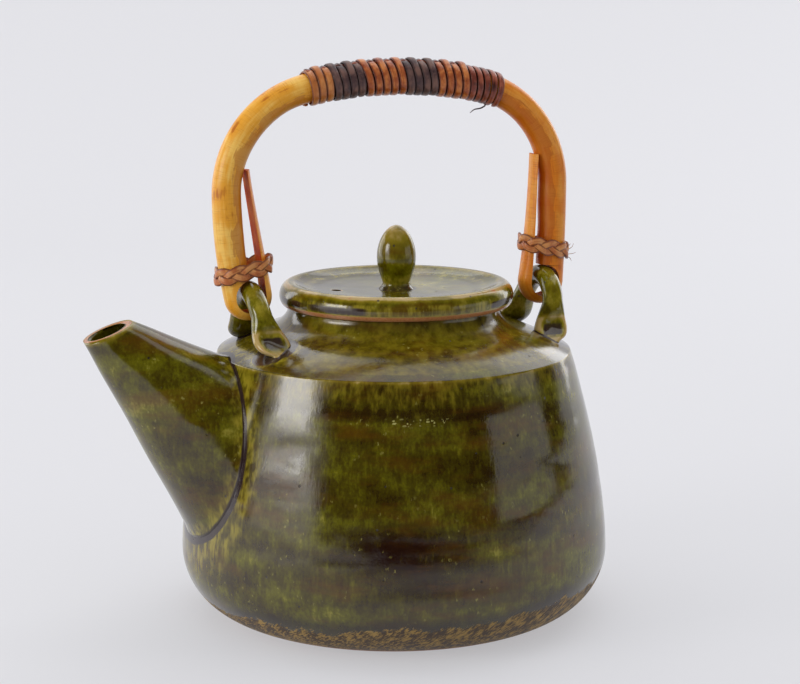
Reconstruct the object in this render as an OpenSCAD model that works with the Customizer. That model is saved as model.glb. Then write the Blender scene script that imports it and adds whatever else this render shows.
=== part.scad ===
// Hand-thrown stoneware teapot with a lift-off lid and a cane bow handle that swings on two lugs.
// Millimetres. +Z is up, the spout points along -X, and the bow stands in the XZ plane.
// The origin is the middle of the flat base, on the axis on which the pot was thrown.

/* [Pot] */
// Radius of the flat base
foot_r = 51.5; // [46:0.5:60]
// Greatest radius of the pot
belly_r = 75; // [70:0.5:82]
// Height of the greatest radius above the base
belly_z = 23; // [16:0.5:32]
// Radius of the crisp edge where the wall turns in to the shoulder
shoulder_r = 61.6; // [59:0.2:66]
// Height of that edge above the base
shoulder_z = 92.6; // [84:0.2:104]
// How full the wall is between the belly and the edge, as a power
wall_fullness = 1.6; // [1.2:0.1:2.4]
// Thickness of the thrown wall
wall_t = 4; // [3:0.25:6]
// Thickness of the floor
floor_t = 6; // [4:0.5:9]
// How far the neck's foot stands above the edge of the shoulder
neck_rise = 9.8; // [7:0.2:13]
// How much the shoulder swells above a straight cone, as a share of its rise
shoulder_swell = 0.4; // [0:0.05:0.6]
// Outer radius of the neck
neck_r = 36.9; // [34:0.1:40]
// Height of the neck above the shoulder
neck_h = 5.5; // [4:0.1:9]
// Thickness of the neck
neck_t = 2.9; // [2:0.1:4]
// Width of the soft hollow where the shoulder turns up into the neck
neck_sweep = 9; // [5:0.5:10]

/* [Spout] */
// How far the middle of the spout's mouth stands out from the pot's axis
spout_tip_x = 102.8; // [96:0.2:110]
// Height of the middle of the mouth above the base
spout_tip_z = 103.9; // [98:0.2:108]
// Angle of the spout's own axis above level
spout_rise = 43.4; // [40:0.2:47]
// Outer radius of the spout at the mouth
spout_mouth_r = 7.7; // [6.5:0.1:9]
// Angle between the spout's axis and its outside
spout_angle = 19.4; // [18:0.2:21]
// Angle of the mouth's plane above level
mouth_tilt = 21.2; // [10:0.2:32]
// Wall thickness of the spout at the mouth
spout_lip_t = 1.8; // [1.2:0.1:2.6]
// Angle between the spout's axis and its bore
bore_angle = 17.4; // [15:0.2:18]
// Radius of each strainer hole
strainer_r = 2.4; // [1.5:0.1:3]
// Distance between neighbouring strainer holes
strainer_pitch = 7.6; // [6.6:0.1:8.6]
// Number of rings of holes round the middle one
strainer_rings = 2; // [1:1:2]

/* [Lid] */
// Greatest radius of the lid
lid_r = 40.8; // [39:0.1:43]
// Radius of the bare ring that the lid rests on
lid_foot_r = 38.8; // [37.4:0.1:39.4]
// Radius of the rim round the dished top
lid_rim_r = 37; // [34:0.1:38]
// Height of that rim above the seat
lid_h = 8.1; // [7:0.1:10]
// Height of the greatest radius above the seat
lid_edge_z = 3.3; // [2:0.1:4.5]
// Width of the rim's level top
lid_rim_w = 1.4; // [0.8:0.1:2.2]
// How far the top is dished below its rim
dish_depth = 3; // [2:0.1:3.6]
// Width of the slope from the rim down to the dish's level middle
dish_slope = 5.6; // [1.5:0.1:6]
// Thickness of the lid's plate
lid_plate_t = 3.2; // [2.5:0.1:4.2]
// Depth of the flange that hangs inside the neck
flange_depth = 8; // [5:0.5:12]
// Thickness of the flange
flange_t = 2.2; // [1.8:0.1:3]
// Radial play between the flange and the neck
lid_play = 1.2; // [0.6:0.1:1.8]
// Radius of the steam hole
vent_r = 1.7; // [1:0.1:2.4]
// Distance of the steam hole from the lid's middle
vent_reach = 21.4; // [16:0.2:26]
// Direction of the steam hole, turned from the rear side of the pot
vent_angle = 174; // [0:1:359]
// Height of the knob
knob_h = 22.4; // [16:0.2:30]
// Greatest radius of the knob
knob_r = 6.8; // [5.5:0.1:10]
// Radius of the knob where it stands on the lid
knob_foot_r = 6.1; // [5.4:0.1:6.6]
// Radius of the knob's waist above its foot
knob_waist_r = 4.7; // [4:0.1:5.3]
// Height of the waist
knob_waist_z = 2.2; // [1.4:0.1:3.4]

/* [Lugs] */
// Distance of the spout-side lug from the pot's axis
spout_lug_x = 52.3; // [50.5:0.1:54.5]
// Distance of the rear lug from the pot's axis
rear_lug_x = 56.2; // [54.5:0.1:58.5]
// Radius of the clay bar that the lugs are bent from
lug_bar_r = 3.6; // [3:0.1:4]
// Radius of the arch along the middle of the bar
arch_r = 13.5; // [12.5:0.1:15]
// Height of the arch's centre above the shoulder at the spout-side lug
arch_rise = 4.6; // [4:0.1:7]
// Angle from the crown at which the bar leaves the arch and runs straight down into its foot
arch_angle = 66; // [60:1:72]
// How far the feet of the spout-side lug stand nearer the pot's axis than its crown
spout_foot_inset = 3.6; // [1:0.1:5]
// How far the feet of the rear lug stand nearer the pot's axis than its crown
rear_foot_inset = 4.6; // [2:0.1:7]
// How far the middle of each pressed foot stands from the bow's plane
lug_foot_y = 17; // [16:0.1:19]
// Half the width of the pressed foot
lug_foot_r = 6.4; // [5:0.1:7.5]
// How deep a thumb has pressed each foot, as a share of the bar's half thickness
lug_press = 0.6; // [0:0.05:0.8]

/* [Cane bow] */
// Radius of the cane
cane_r = 5; // [4.4:0.1:5.4]
// How far the middle of the cane, at its widest place, stands out beyond the rear lug
bow_bulge = 3.6; // [2.6:0.1:9]
// Height of the bow's top, along the middle of the cane, above the hinge axis
bow_rise = 84.7; // [76:0.2:96]
// Radius of the bow's flat top, along the middle of the cane
bow_top_r = 157; // [120:1:220]
// Radius of the bow's corners, along the middle of the cane
bow_corner_r = 36; // [30:0.5:42]

/* [Hooks] */
// Inner radius of each hook, where it passes under the lug's bar
hook_r = 5.3; // [5.1:0.1:6]
// Thickness of the shaved cane in the hook
hook_t = 3; // [2.4:0.1:3.4]
// How far the spout-side hook's middle lies outside the middle of its lug
spout_hook_shift = 0.5; // [-1:0.1:1]
// How far the rear hook's middle lies outside the middle of its lug
rear_hook_shift = -0.6; // [-1:0.1:1]
// Free height of the hook beyond a circle, so that the handle hangs loosely
hook_slack = 0.6; // [0:0.1:2]
// Height of the spout-side hook's cut end above the hinge axis
spout_tongue_top = 55; // [48:0.5:60]
// Height of the rear hook's cut end above the hinge axis
rear_tongue_top = 57; // [48:0.5:60]
// Thickness of the shaved cane at its cut end
tongue_tip_t = 1.6; // [1.2:0.1:2.6]
// How far each hook's bend turns on beyond a half circle, so that its tongue leans to the cane
tongue_turn = 9; // [4:1:12]
// Lean of the spout-side tongue at its cut end, as a share of its height
spout_tongue_lean = 0.13; // [0:0.01:0.2]
// Lean of the rear tongue at its cut end, as a share of its height
rear_tongue_lean = 0.03; // [0:0.01:0.2]

/* [Bindings] */
// Height of the middle of the spout-side binding above the hinge axis
spout_binding_z = 21; // [20.4:0.1:24]
// Height of the middle of the rear binding above the hinge axis
rear_binding_z = 24; // [20.4:0.1:26]
// Slope of the bindings, which rise towards the pot's axis
binding_slope = 12; // [0:1:14]
// Half the width of one plaited strand
plait_half_w = 1.5; // [1.2:0.1:1.8]
// Half the thickness of one plaited strand
plait_half_t = 0.42; // [0.36:0.02:0.7]
// How far each strand weaves up and down
plait_sway = 1.6; // [1.3:0.1:2]
// Number of times that each strand sways on its way round
plait_waves = 4; // [3:1:6]

/* [Grip wrap] */
// Distance along the grip from the bow's middle to the wrap's spout-side end
wrap_start = 31.5; // [28:0.2:36]
// Distance between the turns of the wide strands
turn_pitch = 2.95; // [2.6:0.05:3.2]
// Number of turns of the tan strand at the spout-side end
tan_turns = 2; // [1:1:3]
// Number of turns in each run of the dark strand
dark_turns = 4; // [2:1:4]
// Number of turns in the middle run of the red strand
red_1_turns = 5; // [2:1:5]
// Number of turns in the rear run of the red strand
red_2_turns = 4; // [2:1:4]
// Thickness of the strands
strand_t = 0.9; // [0.7:0.05:1.4]
// Distance between the turns of the narrow strand at the rear end
narrow_pitch = 2.6; // [2.2:0.05:2.7]
// Number of turns of the narrow strand
narrow_turns = 5; // [3:1:6]
// Thickness of the strip that runs lengthwise under the turns
core_t = 0.5; // [0.3:0.05:0.8]

/* [Fits] */
// Gap between the lid's foot and the neck
seat_gap = 0.3; // [0.2:0.05:0.5]
// Least gap between a hook and its lug
hook_gap = 0.3; // [0.2:0.05:0.4]
// Gap between a wound or bound strand and the cane
strand_gap = 0.1; // [0.05:0.01:0.2]

/* [Hidden] */
$fn = 96;
curve_steps = 12;       // straight steps in each drawn curve of a profile
glaze = "#4d4a1a";
cane = "#c98a3a";
cut_cane = "#a8582c";
plait = "#b07a58";
tan_strand = "#a86a3c";
dark_strand = "#2e1c1a";
red_strand = "#8c3f26";
maroon_strand = "#5e2420";

// Pot: heights and radii that other pieces are set by
neck_foot_z = shoulder_z + neck_rise;
neck_top_z = neck_foot_z + neck_h;
neck_bore_r = neck_r - neck_t;
lid_z = neck_top_z + seat_gap;
lid_shift = max(0, lid_play - seat_gap);   // the lid lies a little off the pot's axis
flange_r = neck_bore_r - lid_play;
dish_z = lid_h - dish_depth;

// Hinge: the axis through the centres of both arches, about which the bow swings
hinge_z = shoulder_at(spout_lug_x) + arch_rise;
bar_z = hinge_z + arch_r;                  // height of the middle of the bar at its crown

// Bow: centres of its arcs
bow_top_z = hinge_z + bow_rise;
bow_half_w = rear_lug_x + bow_bulge;
bow_corner_x = bow_half_w - bow_corner_r;
bow_top_centre_z = bow_top_z - bow_top_r;
bow_spring_z = bow_top_centre_z + sqrt(pow(bow_top_r - bow_corner_r, 2) - pow(bow_corner_x, 2));
bow_top_angle = asin(bow_corner_x / (bow_top_r - bow_corner_r));
bow_cut_rise = 19.6;                       // height above the hinge at which the bow ends
bow_cut_z = hinge_z + bow_cut_rise;        // level at which the bow passes into the hooks
hook_outer_r = hook_r + hook_t;
weave = 0.6;                               // in and out sway of the plait, in half thicknesses
binding_r = cane_r + strand_gap + (1.1 + weave) * plait_half_t;
turn_gap = 0.35;                           // room between the turns of the wide strands
narrow_gap = 0.6;                          // the narrow strand goes round a bend and needs more
turn_w = turn_pitch - turn_gap;
narrow_w = narrow_pitch - narrow_gap;

// Height of the shoulder's surface at a radius
function shoulder_at(r) =
    let (t = (shoulder_r - r) / (shoulder_r - neck_r))
    shoulder_z + neck_rise * ((1 + shoulder_swell) * t - shoulder_swell * t * t);

// Outer radius of the wall at a height between the belly and the shoulder's edge
function wall_at(z) =
    belly_r - (belly_r - shoulder_r) * pow((z - belly_z) / (shoulder_z - belly_z), wall_fullness);

// Points of a drawn curve: evenly spaced values from a to b
function steps(a, b, n = curve_steps) = [for (i = [0:n]) a + (b - a) * i / n];

// The pot is thrown in one piece. It is drawn as rings that meet face to face at level seams:
// a flat foot, the bowl round it, the wall, and the shoulder with its neck.
inner_top_r = shoulder_r - wall_t;
seam_drop = 1;              // the seam lies this far below the inner corner of the shoulder
wall_seam_z = shoulder_at(inner_top_r) - wall_t - seam_drop;
foot_seam_angle = acos(1 - floor_t / belly_z);

// Point of the curve from the foot round to the belly, which starts at a radius and a height
function bowl_point(a, r, low) = [r + (belly_r - foot_r) * sin(a), low + (belly_z - low) * (1 - cos(a))];
foot_outside = [for (a = steps(0, foot_seam_angle, 8)) bowl_point(a, foot_r, 0)];
bowl_outside = [for (a = steps(foot_seam_angle, 90)) bowl_point(a, foot_r, 0)];
bowl_inside = [for (a = steps(90, 0)) bowl_point(a, foot_r - wall_t, floor_t)];
wall_outside = [for (z = steps(belly_z, wall_seam_z)) [wall_at(z), z]];
wall_inside = [for (z = steps(wall_seam_z, belly_z)) [wall_at(z) - wall_t, z]];
neck_lip = 0.8;             // the straight part of the neck under its mouth
sweep_start = [neck_r + neck_sweep, shoulder_at(neck_r + neck_sweep)];
sweep_corner = [neck_r + neck_sweep / 10, shoulder_at(neck_r + neck_sweep / 10)];
sweep_end = [neck_r, neck_top_z - neck_lip];
shoulder_outside = concat([[wall_at(wall_seam_z), wall_seam_z]],
    [for (r = steps(shoulder_r, neck_r + neck_sweep, 8)) [r, shoulder_at(r)]],
    [for (s = steps(0, 1, 8)) if (s > 0)
        (1 - s) * (1 - s) * sweep_start + 2 * s * (1 - s) * sweep_corner + s * s * sweep_end]);
shoulder_inside = concat([for (r = steps(neck_bore_r, inner_top_r)) [r, shoulder_at(r) - wall_t]],
    [[wall_at(wall_seam_z) - wall_t, wall_seam_z]]);

// The pot as a full solid, used to trim what is pressed on to it
module pot_solid() {
    rotate_extrude() polygon(concat([[0, 0]], foot_outside,
        [for (i = [1:len(bowl_outside) - 1]) bowl_outside[i]],
        [for (i = [1:len(wall_outside) - 1]) wall_outside[i]],
        [for (i = [1:len(shoulder_outside) - 1]) shoulder_outside[i]], [[0, neck_foot_z]]));
}

module pot_foot() {
    color(glaze) rotate_extrude() polygon(concat([[0, 0]], foot_outside, [[0, floor_t]]));
}

module pot_bowl() {
    color(glaze) rotate_extrude() polygon(concat(bowl_outside, bowl_inside));
}

module wall_ring() {
    rotate_extrude() polygon(concat(wall_outside, wall_inside));
}

module pot_wall() {
    color(glaze) difference() {
        wall_ring();
        strainer_round(strainer_plate_r);
    }
}

module pot_shoulder() {
    color(glaze) rotate_extrude() polygon(concat(
        shoulder_outside, [[neck_r, neck_top_z], [neck_bore_r, neck_top_z]], shoulder_inside));
}

// The pierced round of wall behind the spout
module strainer() {
    color(glaze) difference() {
        intersection() {
            wall_ring();
            strainer_round(strainer_plate_r - strainer_fit);
        }
        strainer_holes();
    }
}

// Places of the strainer holes: rings of a six-sided pattern, each ring drawn side by side
function hex_ring(k) =
    [for (side = [0:5], i = [0:k - 1])
        k * unit(60 * side) + i * unit(60 * side + 120)];
function unit(a) = [cos(a), sin(a)];

// Middle of the strainer on the wall, a little below the place that the spout's axis points at
strainer_drop = 3;
strainer_fit = 0.05;        // room round the pierced round in the wall
strainer_edge = 1;          // width of wall left outside the outermost holes
strainer_plate_r = strainer_rings * strainer_pitch + strainer_r + strainer_edge;
strainer_z = spout_tip_z - strainer_drop
    - (spout_tip_x - wall_at((shoulder_z + belly_z) / 2)) * tan(spout_rise);

// Level round bar through the wall on the spout's side, at a place of the strainer's pattern
module strainer_round(r, p = [0, 0]) {
    translate([-belly_r, p[1] * strainer_pitch, strainer_z + p[0] * strainer_pitch])
        rotate([0, 90, 0]) cylinder(h = belly_r - neck_bore_r, r = r, $fn = 32);
}

// Level holes through the pot's wall behind the spout
module strainer_holes() {
    places = concat([[0, 0]], [for (k = [1:strainer_rings]) each hex_ring(k)]);
    for (p = places) strainer_round(strainer_r, p);
}

// A cone along the spout's axis, of radius r at the mouth, running back into the pot
module spout_cone(r, spread) {
    root_share = 0.54;                          // the cones end inside the pot's wall
    back = spout_tip_x / cos(spout_rise) * root_share;
    ahead = spout_mouth_r;
    translate([-spout_tip_x, 0, spout_tip_z]) rotate([0, spout_rise - 90, 0]) translate([0, 0, -back])
        cylinder(h = back + ahead, r1 = r + back * tan(spread), r2 = r - ahead * tan(spread));
}

module spout() {
    beyond = 4 * spout_mouth_r;
    color(glaze) difference() {
        spout_cone(spout_mouth_r, spout_angle);
        spout_cone(spout_mouth_r - spout_lip_t, bore_angle);
        pot_solid();
        translate([-spout_tip_x, 0, spout_tip_z]) rotate([0, -mouth_tilt, 0])
            translate([-beyond, -beyond, 0]) cube([2 * beyond, 2 * beyond, beyond]);
    }
}

// An arch of clay bar whose legs lean in towards the pot and spread into two pressed feet.
// Its crown is at a distance x from the pot's axis, and its feet stand nearer by the inset.
module lug(x, inset) {
    foot_z = shoulder_at(norm([x - inset, lug_foot_y]));
    end = [arch_r * sin(arch_angle), hinge_z + arch_r * cos(arch_angle)];
    foot = [lug_foot_y, foot_z - foot_sink];
    leg_slope = atan2(end[1] - foot[1], foot[0] - end[0]);
    spots = concat(
        [for (a = steps(0, arch_angle, 7)) [arch_r * sin(a), hinge_z + arch_r * cos(a), a]],
        [for (s = steps(0, 1, 6)) if (s > 0) concat(end + (foot - end) * s, [leg_slope])]);
    difference() {
        skin(concat(
            [for (i = [len(spots) - 1:-1:1]) lug_ring(x, inset, foot_z, spots[i], -1)],
            [for (p = spots) lug_ring(x, inset, foot_z, p, 1)]));
        pot_solid();
    }
}

foot_sink = 3.4;        // how far the legs are drawn on under the sloping shoulder
spread_from = 0.42;     // share of the lug's height, from the crown, at which it starts to spread

// Ring of points round the bar. The spot holds a distance from the bow's plane, a height and the
// bar's slope there; side is -1 or 1.
function lug_ring(x, inset, foot_z, spot, side) =
    let (drop = (bar_z - spot[1]) / (bar_z - foot_z),
         spread = max(0, drop - spread_from) / (1 - spread_from),
         w = lug_bar_r + (lug_foot_r - lug_bar_r) * spread,
         d = lug_bar_r * (1 + spread * spread / 4),
         press = lug_press * sin(180 * min(1, spread * spread)))
    [for (a = steps(0, 342, 19))
        let (out = d * sin(a) * (1 - press * pow(max(0, sin(a)), 2)))
        [x - inset * pow(drop, 1.5) + w * cos(a), side * (spot[0] + out * sin(spot[2])),
         spot[1] + out * cos(spot[2])]];

// Puts what is drawn on the +X side on the spout's side
module on_spout_side() {
    mirror([1, 0, 0]) children();
}

module spout_side_lug() {
    color(glaze) on_spout_side() lug(spout_lug_x, spout_foot_inset);
}

module rear_lug() {
    color(glaze) lug(rear_lug_x, rear_foot_inset);
}

// Outer edge of the lid, from its foot round its widest place up to the rim
lid_edge = concat(
    [for (a = steps(0, 90, 6)) [lid_foot_r + (lid_r - lid_foot_r) * sin(a), lid_edge_z * (1 - cos(a))]],
    [for (a = steps(0, 90, 8)) if (a > 0)
        [lid_rim_r + (lid_r - lid_rim_r) * cos(a), lid_edge_z + (lid_h - lid_edge_z) * sin(a)]]);

flange_bore_r = flange_r - flange_t;
knob_point = 1.12;          // above 1 the knob's top is drawn out to a point
module lid() {
    rim_inner_r = lid_rim_r - lid_rim_w;
    dish_r = rim_inner_r - dish_slope;
    plate_z = dish_z - lid_plate_t;
    color(glaze) translate([lid_shift, 0, lid_z]) difference() {
        rotate_extrude() polygon(concat(
            [[0, plate_z], [flange_bore_r, plate_z], [flange_bore_r, 0]],
            lid_edge,
            [[rim_inner_r, lid_h], [dish_r, dish_z], [0, dish_z]]));
        rotate([0, 0, vent_angle]) translate([vent_reach, 0, plate_z - 1])
            cylinder(h = lid_plate_t + 2, r = vent_r, $fn = 32);
    }
}

// The ring under the lid that keeps it centred in the neck
module lid_flange() {
    color(glaze) translate([lid_shift, 0, lid_z - flange_depth]) difference() {
        cylinder(h = flange_depth, r = flange_r);
        translate([0, 0, -1]) cylinder(h = flange_depth + 2, r = flange_bore_r);
    }
}

module lid_knob() {
    mid_z = knob_h / 2;
    color(glaze) translate([lid_shift, 0, lid_z + dish_z]) rotate_extrude() polygon(concat(
        [[0, 0]],
        [for (a = steps(0, 90, 6))
            [knob_foot_r - (knob_foot_r - knob_waist_r) * sin(a), knob_waist_z * (1 - cos(a))]],
        [for (a = steps(0, 90)) if (a > 0)
            [knob_waist_r + (knob_r - knob_waist_r) * sin(a),
                knob_waist_z + (mid_z - knob_waist_z) * a / 90]],
        [for (a = steps(0, 90)) if (a > 0 && a < 90)
            [knob_r * pow(cos(a), knob_point), mid_z + (knob_h - mid_z) * sin(a)]],
        [[0, knob_h]]));
}

// How far the middle of a hook stands from the pot's axis
function hook_x(lug_x, shift) = lug_x + shift;

// Height of the centre of the notch that rides over the bar, and of the bend under it. As the
// bow swings, the leaning bar drifts sideways in the notch by a share of the lug's inset.
swing_drift = 0.1;
function notch_z(shift, inset) =
    let (off = max(abs(shift), abs(shift + swing_drift * inset)))
    bar_z - sqrt(max(0, pow(hook_r - lug_bar_r - hook_gap, 2) - off * off));
function bend_z(shift, inset) = notch_z(shift, inset) - hook_slack;

// Radius of the arm's arc, which runs into the hook's outer bend without a kink
function arm_r(x, z) =
    let (k = bow_half_w - x, h = bow_spring_z - z, m = cane_r - hook_outer_r)
    (k * k + h * h - m * m) / (2 * (m + k));
// Angle below level at which the arm meets the hook
function arm_angle(x, z) = asin((bow_spring_z - z) / (arm_r(x, z) - hook_outer_r + cane_r));
// Angle below level at which the arm reaches the level where the bow ends
function cut_angle(x, z) = asin((bow_spring_z - bow_cut_z) / arm_r(x, z));

// Points of the bow's middle line on one side, from the level of its cut end up to the corner:
// each is a distance from the pot's axis, a height and the direction of its outward side
function bow_side(x, z) =
    let (r = arm_r(x, z))
    concat(
        [for (a = steps(-cut_angle(x, z), 0)) arc_spot(bow_half_w - r, bow_spring_z, r, a)],
        [for (a = steps(0, 90 - bow_top_angle)) if (a > 0)
            arc_spot(bow_corner_x, bow_spring_z, bow_corner_r, a)]);
function arc_spot(x, z, r, a) = [x + r * cos(a), z + r * sin(a), a];
function mirrored(spots) = [for (i = [len(spots) - 1:-1:0]) [-spots[i][0], spots[i][1], 180 - spots[i][2]]];

spout_hook_x = hook_x(spout_lug_x, spout_hook_shift);
rear_hook_x = hook_x(rear_lug_x, rear_hook_shift);
spout_bend_z = bend_z(spout_hook_shift, spout_foot_inset);
rear_bend_z = bend_z(rear_hook_shift, rear_foot_inset);

// The bow is one bent cane of even thickness, drawn from the rear end over to the spout's end
module cane_bow() {
    top = [for (a = steps(90 - bow_top_angle, 90 + bow_top_angle))
        arc_spot(0, bow_top_centre_z, bow_top_r, a)];
    spots = concat(
        bow_side(rear_hook_x, rear_bend_z),
        [for (i = [1:len(top) - 2]) top[i]],
        mirrored(bow_side(spout_hook_x, spout_bend_z)));
    color(cane) skin([for (p = spots)
        [for (around = steps(0, 360 - 360 / 24, 23))
            let (out = cane_r * cos(around))
            [p[0] + out * cos(p[2]), -cane_r * sin(around), p[1] + out * sin(p[2])]]]);
}

// Section of shaved cane: the bark's round on one side and a flat cut on the other. The bark's
// farthest point lies at zero, and t is the thickness behind it.
function shaved(t) =
    let (half = acos((cane_r - t) / cane_r))
    [for (a = steps(-half, half, 16)) [cane_r * cos(a) - cane_r, cane_r * sin(a)]];

// Joins rings of points, each ring of the same count, into one closed solid
module skin(rings, closed = false) {
    n = len(rings);
    m = len(rings[0]);
    last = closed ? n - 1 : n - 2;
    sides = [for (i = [0:last], j = [0:m - 1])
        let (a = i * m + j, b = i * m + (j + 1) % m, c = (i + 1) % n * m + (j + 1) % m,
             d = (i + 1) % n * m + j)
        each [[a, b, c], [a, c, d]]];
    ends = closed ? [] : [[for (j = [m - 1:-1:0]) j], [for (j = [0:m - 1]) (n - 1) * m + j]];
    polyhedron([for (ring = rings) each ring], concat(sides, ends));
}

// Distance from the pot's axis to the inner side of the cane, at a height above the hooks
function cane_inner_at(z, r) =
    z > bow_spring_z
        ? bow_corner_x + sqrt(pow(bow_corner_r - cane_r, 2) - pow(z - bow_spring_z, 2))
        : bow_half_w - r + sqrt(pow(r - cane_r, 2) - pow(z - bow_spring_z, 2));

// Outer line of a hook's tongue on the +X side: it runs straight on from the bend and comes to
// lie along the cane with a given lean. Its four points are evenly spaced in height.
function tongue_line(x, low_z, top_z, lean) =
    let (start = [x, low_z] + hook_outer_r * [-cos(tongue_turn), sin(tongue_turn)],
         tip = [cane_inner_at(top_z, arm_r(x, low_z)) - strand_gap - tongue_tip_t, top_z],
         third = (top_z - start[1]) / 3)
    [start, start + third * [tan(tongue_turn), 1], tip - third * [lean, 1], tip];

// Thickness of the arm behind a point p of its bark, where a round notch about c eats into it
function left_by_notch(p, inward, c) =
    let (w = p - c, b = w * inward, under = b * b - w * w + hook_r * hook_r)
    under < 0 ? full_t : min(full_t, -b - sqrt(under));
full_t = 1.96 * cane_r;     // a hair less than round, so that the flat side has two corners

// Points of the bark's line from the bow's end down the arm, round the bend and up the tongue:
// each is a distance from the pot's axis, a height, its outward direction and a thickness
function hook_spots(x, low_z, line) =
    let (r = arm_r(x, low_z), meet = arm_angle(x, low_z), low = [x, low_z],
         high = low + [0, hook_slack], centre = [bow_half_w - r, bow_spring_z])
    concat(
        [for (a = steps(cut_angle(x, low_z), meet, 24))
            let (out = [cos(a), -sin(a)], p = centre + (r + cane_r) * out)
            [p[0], p[1], -a, min(left_by_notch(p, -out, low), left_by_notch(p, -out, high))]],
        [for (a = steps(meet, 180 + tongue_turn, 14)) if (a > meet)
            [x + hook_outer_r * cos(a), low_z - hook_outer_r * sin(a), -a, hook_t]],
        [for (s = steps(0, 1, 8)) if (s > 0)
            let (p = curve_point(line, s), q = curve_point(line, s - 0.01))
            [p[0], p[1], 180 - atan2(p[0] - q[0], p[1] - q[1]),
             tongue_tip_t + (hook_t - tongue_tip_t) * pow(1 - s, 2)]]);

// The shaved end of the cane on the +X side: it passes outside, under and inside the lug's
// bar, and comes back up along the cane to a cut end.
module hook(x, low_z, line) {
    skin([for (p = hook_spots(x, low_z, line))
        [for (c = shaved(p[3])) [p[0] + c[0] * cos(p[2]), c[1], p[1] + c[0] * sin(p[2])]]]);
}

// Point at a share s of the smooth curve that a line of four points draws
function curve_point(line, s) =
    pow(1 - s, 3) * line[0] + 3 * s * pow(1 - s, 2) * line[1] + 3 * s * s * (1 - s) * line[2]
    + pow(s, 3) * line[3];

spout_tongue = tongue_line(
    spout_hook_x, spout_bend_z, hinge_z + spout_tongue_top, spout_tongue_lean);
rear_tongue = tongue_line(rear_hook_x, rear_bend_z, hinge_z + rear_tongue_top, rear_tongue_lean);

module spout_side_hook() {
    color(cut_cane) on_spout_side() hook(spout_hook_x, spout_bend_z, spout_tongue);
}

module rear_hook() {
    color(cut_cane) hook(rear_hook_x, rear_bend_z, rear_tongue);
}

// Point and outward direction at a share s of the way round an oval of two half circles
function oval_point(half, r, s) =
    let (arc = PI * r, line = 2 * half, whole = 2 * (arc + line), d = s * whole)
    d < arc ? oval_end(half, r, -90 + 180 * d / arc)
    : d < arc + line ? [[half - (d - arc), r], [0, 1]]
    : d < 2 * arc + line ? oval_end(-half, r, 90 + 180 * (d - arc - line) / arc)
    : [[-half + (d - 2 * arc - line), -r], [0, -1]];
function oval_end(x, r, a) = [[x + r * cos(a), r * sin(a)], [cos(a), sin(a)]];

// A plait of three flat strands wound once round the cane and the hook's tongue
module binding(x, low_z, z, line) {
    arm = arm_r(x, low_z);
    cane_x = bow_half_w - arm + sqrt(pow(arm, 2) - pow(z - bow_spring_z, 2));
    // The plait must clear the tongue at its own lower edge, where the tongue stands farthest out
    edge_z = z + cane_r * tan(binding_slope) - plait_sway - plait_half_w;
    tongue = curve_point(line, (edge_z - line[0][1]) / (line[3][1] - line[0][1]));
    half = (cane_x - tongue[0] - cane_r) / 2;
    count = 64;
    translate([cane_x - half, 0, z])
        for (strand = [0:2])
            skin([for (i = [0:count - 1])
                let (s = i / count, spot = oval_point(half, binding_r, s),
                     phase = 360 * plait_waves * s + 120 * strand,
                     up = plait_sway * sin(phase), out = plait_half_t * weave * sin(2 * phase))
                [for (a = [300:-60:0])
                    let (w = plait_half_w * cos(a), d = out + plait_half_t * sin(a),
                         across = spot[0] + spot[1] * d)
                    [across[0], across[1], up + w - across[0] * tan(binding_slope)]]],
                closed = true);
}

module spout_side_binding() {
    color(plait) on_spout_side()
        binding(spout_hook_x, spout_bend_z, hinge_z + spout_binding_z, spout_tongue);
}

module rear_binding() {
    color(plait) binding(rear_hook_x, rear_bend_z, hinge_z + rear_binding_z, rear_tongue);
}

// Point of the grip's middle line and tilt of its outward direction, at a length d along it
top_half_length = bow_top_r * bow_top_angle * PI / 180;
function grip_spot(d) =
    let (past = max(0, abs(d) - top_half_length), side = sign(d),
         tilt = past > 0 ? side * (bow_top_angle + past / bow_corner_r * 180 / PI)
                         : d / bow_top_r * 180 / PI)
    past > 0
        ? [side * bow_corner_x + bow_corner_r * sin(tilt), bow_spring_z + bow_corner_r * cos(tilt), tilt]
        : [bow_top_r * sin(tilt), bow_top_centre_z + bow_top_r * cos(tilt), tilt];

// Point at a length d along the grip, at an angle round the cane from its top and at a radius
function grip_point(d, around, r) =
    let (g = grip_spot(d), up = r * cos(around))
    [g[0] + up * sin(g[2]), r * sin(around), g[1] + up * cos(g[2])];

// How far the core strip lifts the turns at an angle round the cane
function core_lift(around) = core_t * pow(max(0, cos(around)), 8);

// Strand wound round the grip from a length d, in a given number of turns
module winding(d, turns, pitch, w) {
    per_turn = 20;
    end_gap = 1;                                // ring steps left free before the next strand
    t = strand_t;
    skin([for (i = [0:turns * per_turn - end_gap])
        let (around = 360 * i / per_turn, base = cane_r + strand_gap * 2 + core_lift(around),
             mid = d + w / 2 + pitch * i / per_turn)
        [for (c = [[-0.5, 0], [0.5, 0], [0.5, 0.5], [0.28, 1], [-0.28, 1], [-0.5, 0.5]])
            grip_point(mid + c[0] * w, around, base + c[1] * t)]]);
}

// Lengths along the grip at which the runs of the wrap begin, from the spout's side
dark_1_start = -wrap_start + tan_turns * turn_pitch;
red_1_start = dark_1_start + dark_turns * turn_pitch;
dark_2_start = red_1_start + red_1_turns * turn_pitch;
red_2_start = dark_2_start + dark_turns * turn_pitch;
narrow_start = red_2_start + red_2_turns * turn_pitch + (turn_w - narrow_w) / 2;
wrap_end = narrow_start + narrow_turns * narrow_pitch + narrow_w;

// One run of the wide strand
module wide_run(d, turns) {
    winding(d, turns, turn_pitch, turn_w);
}

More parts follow.
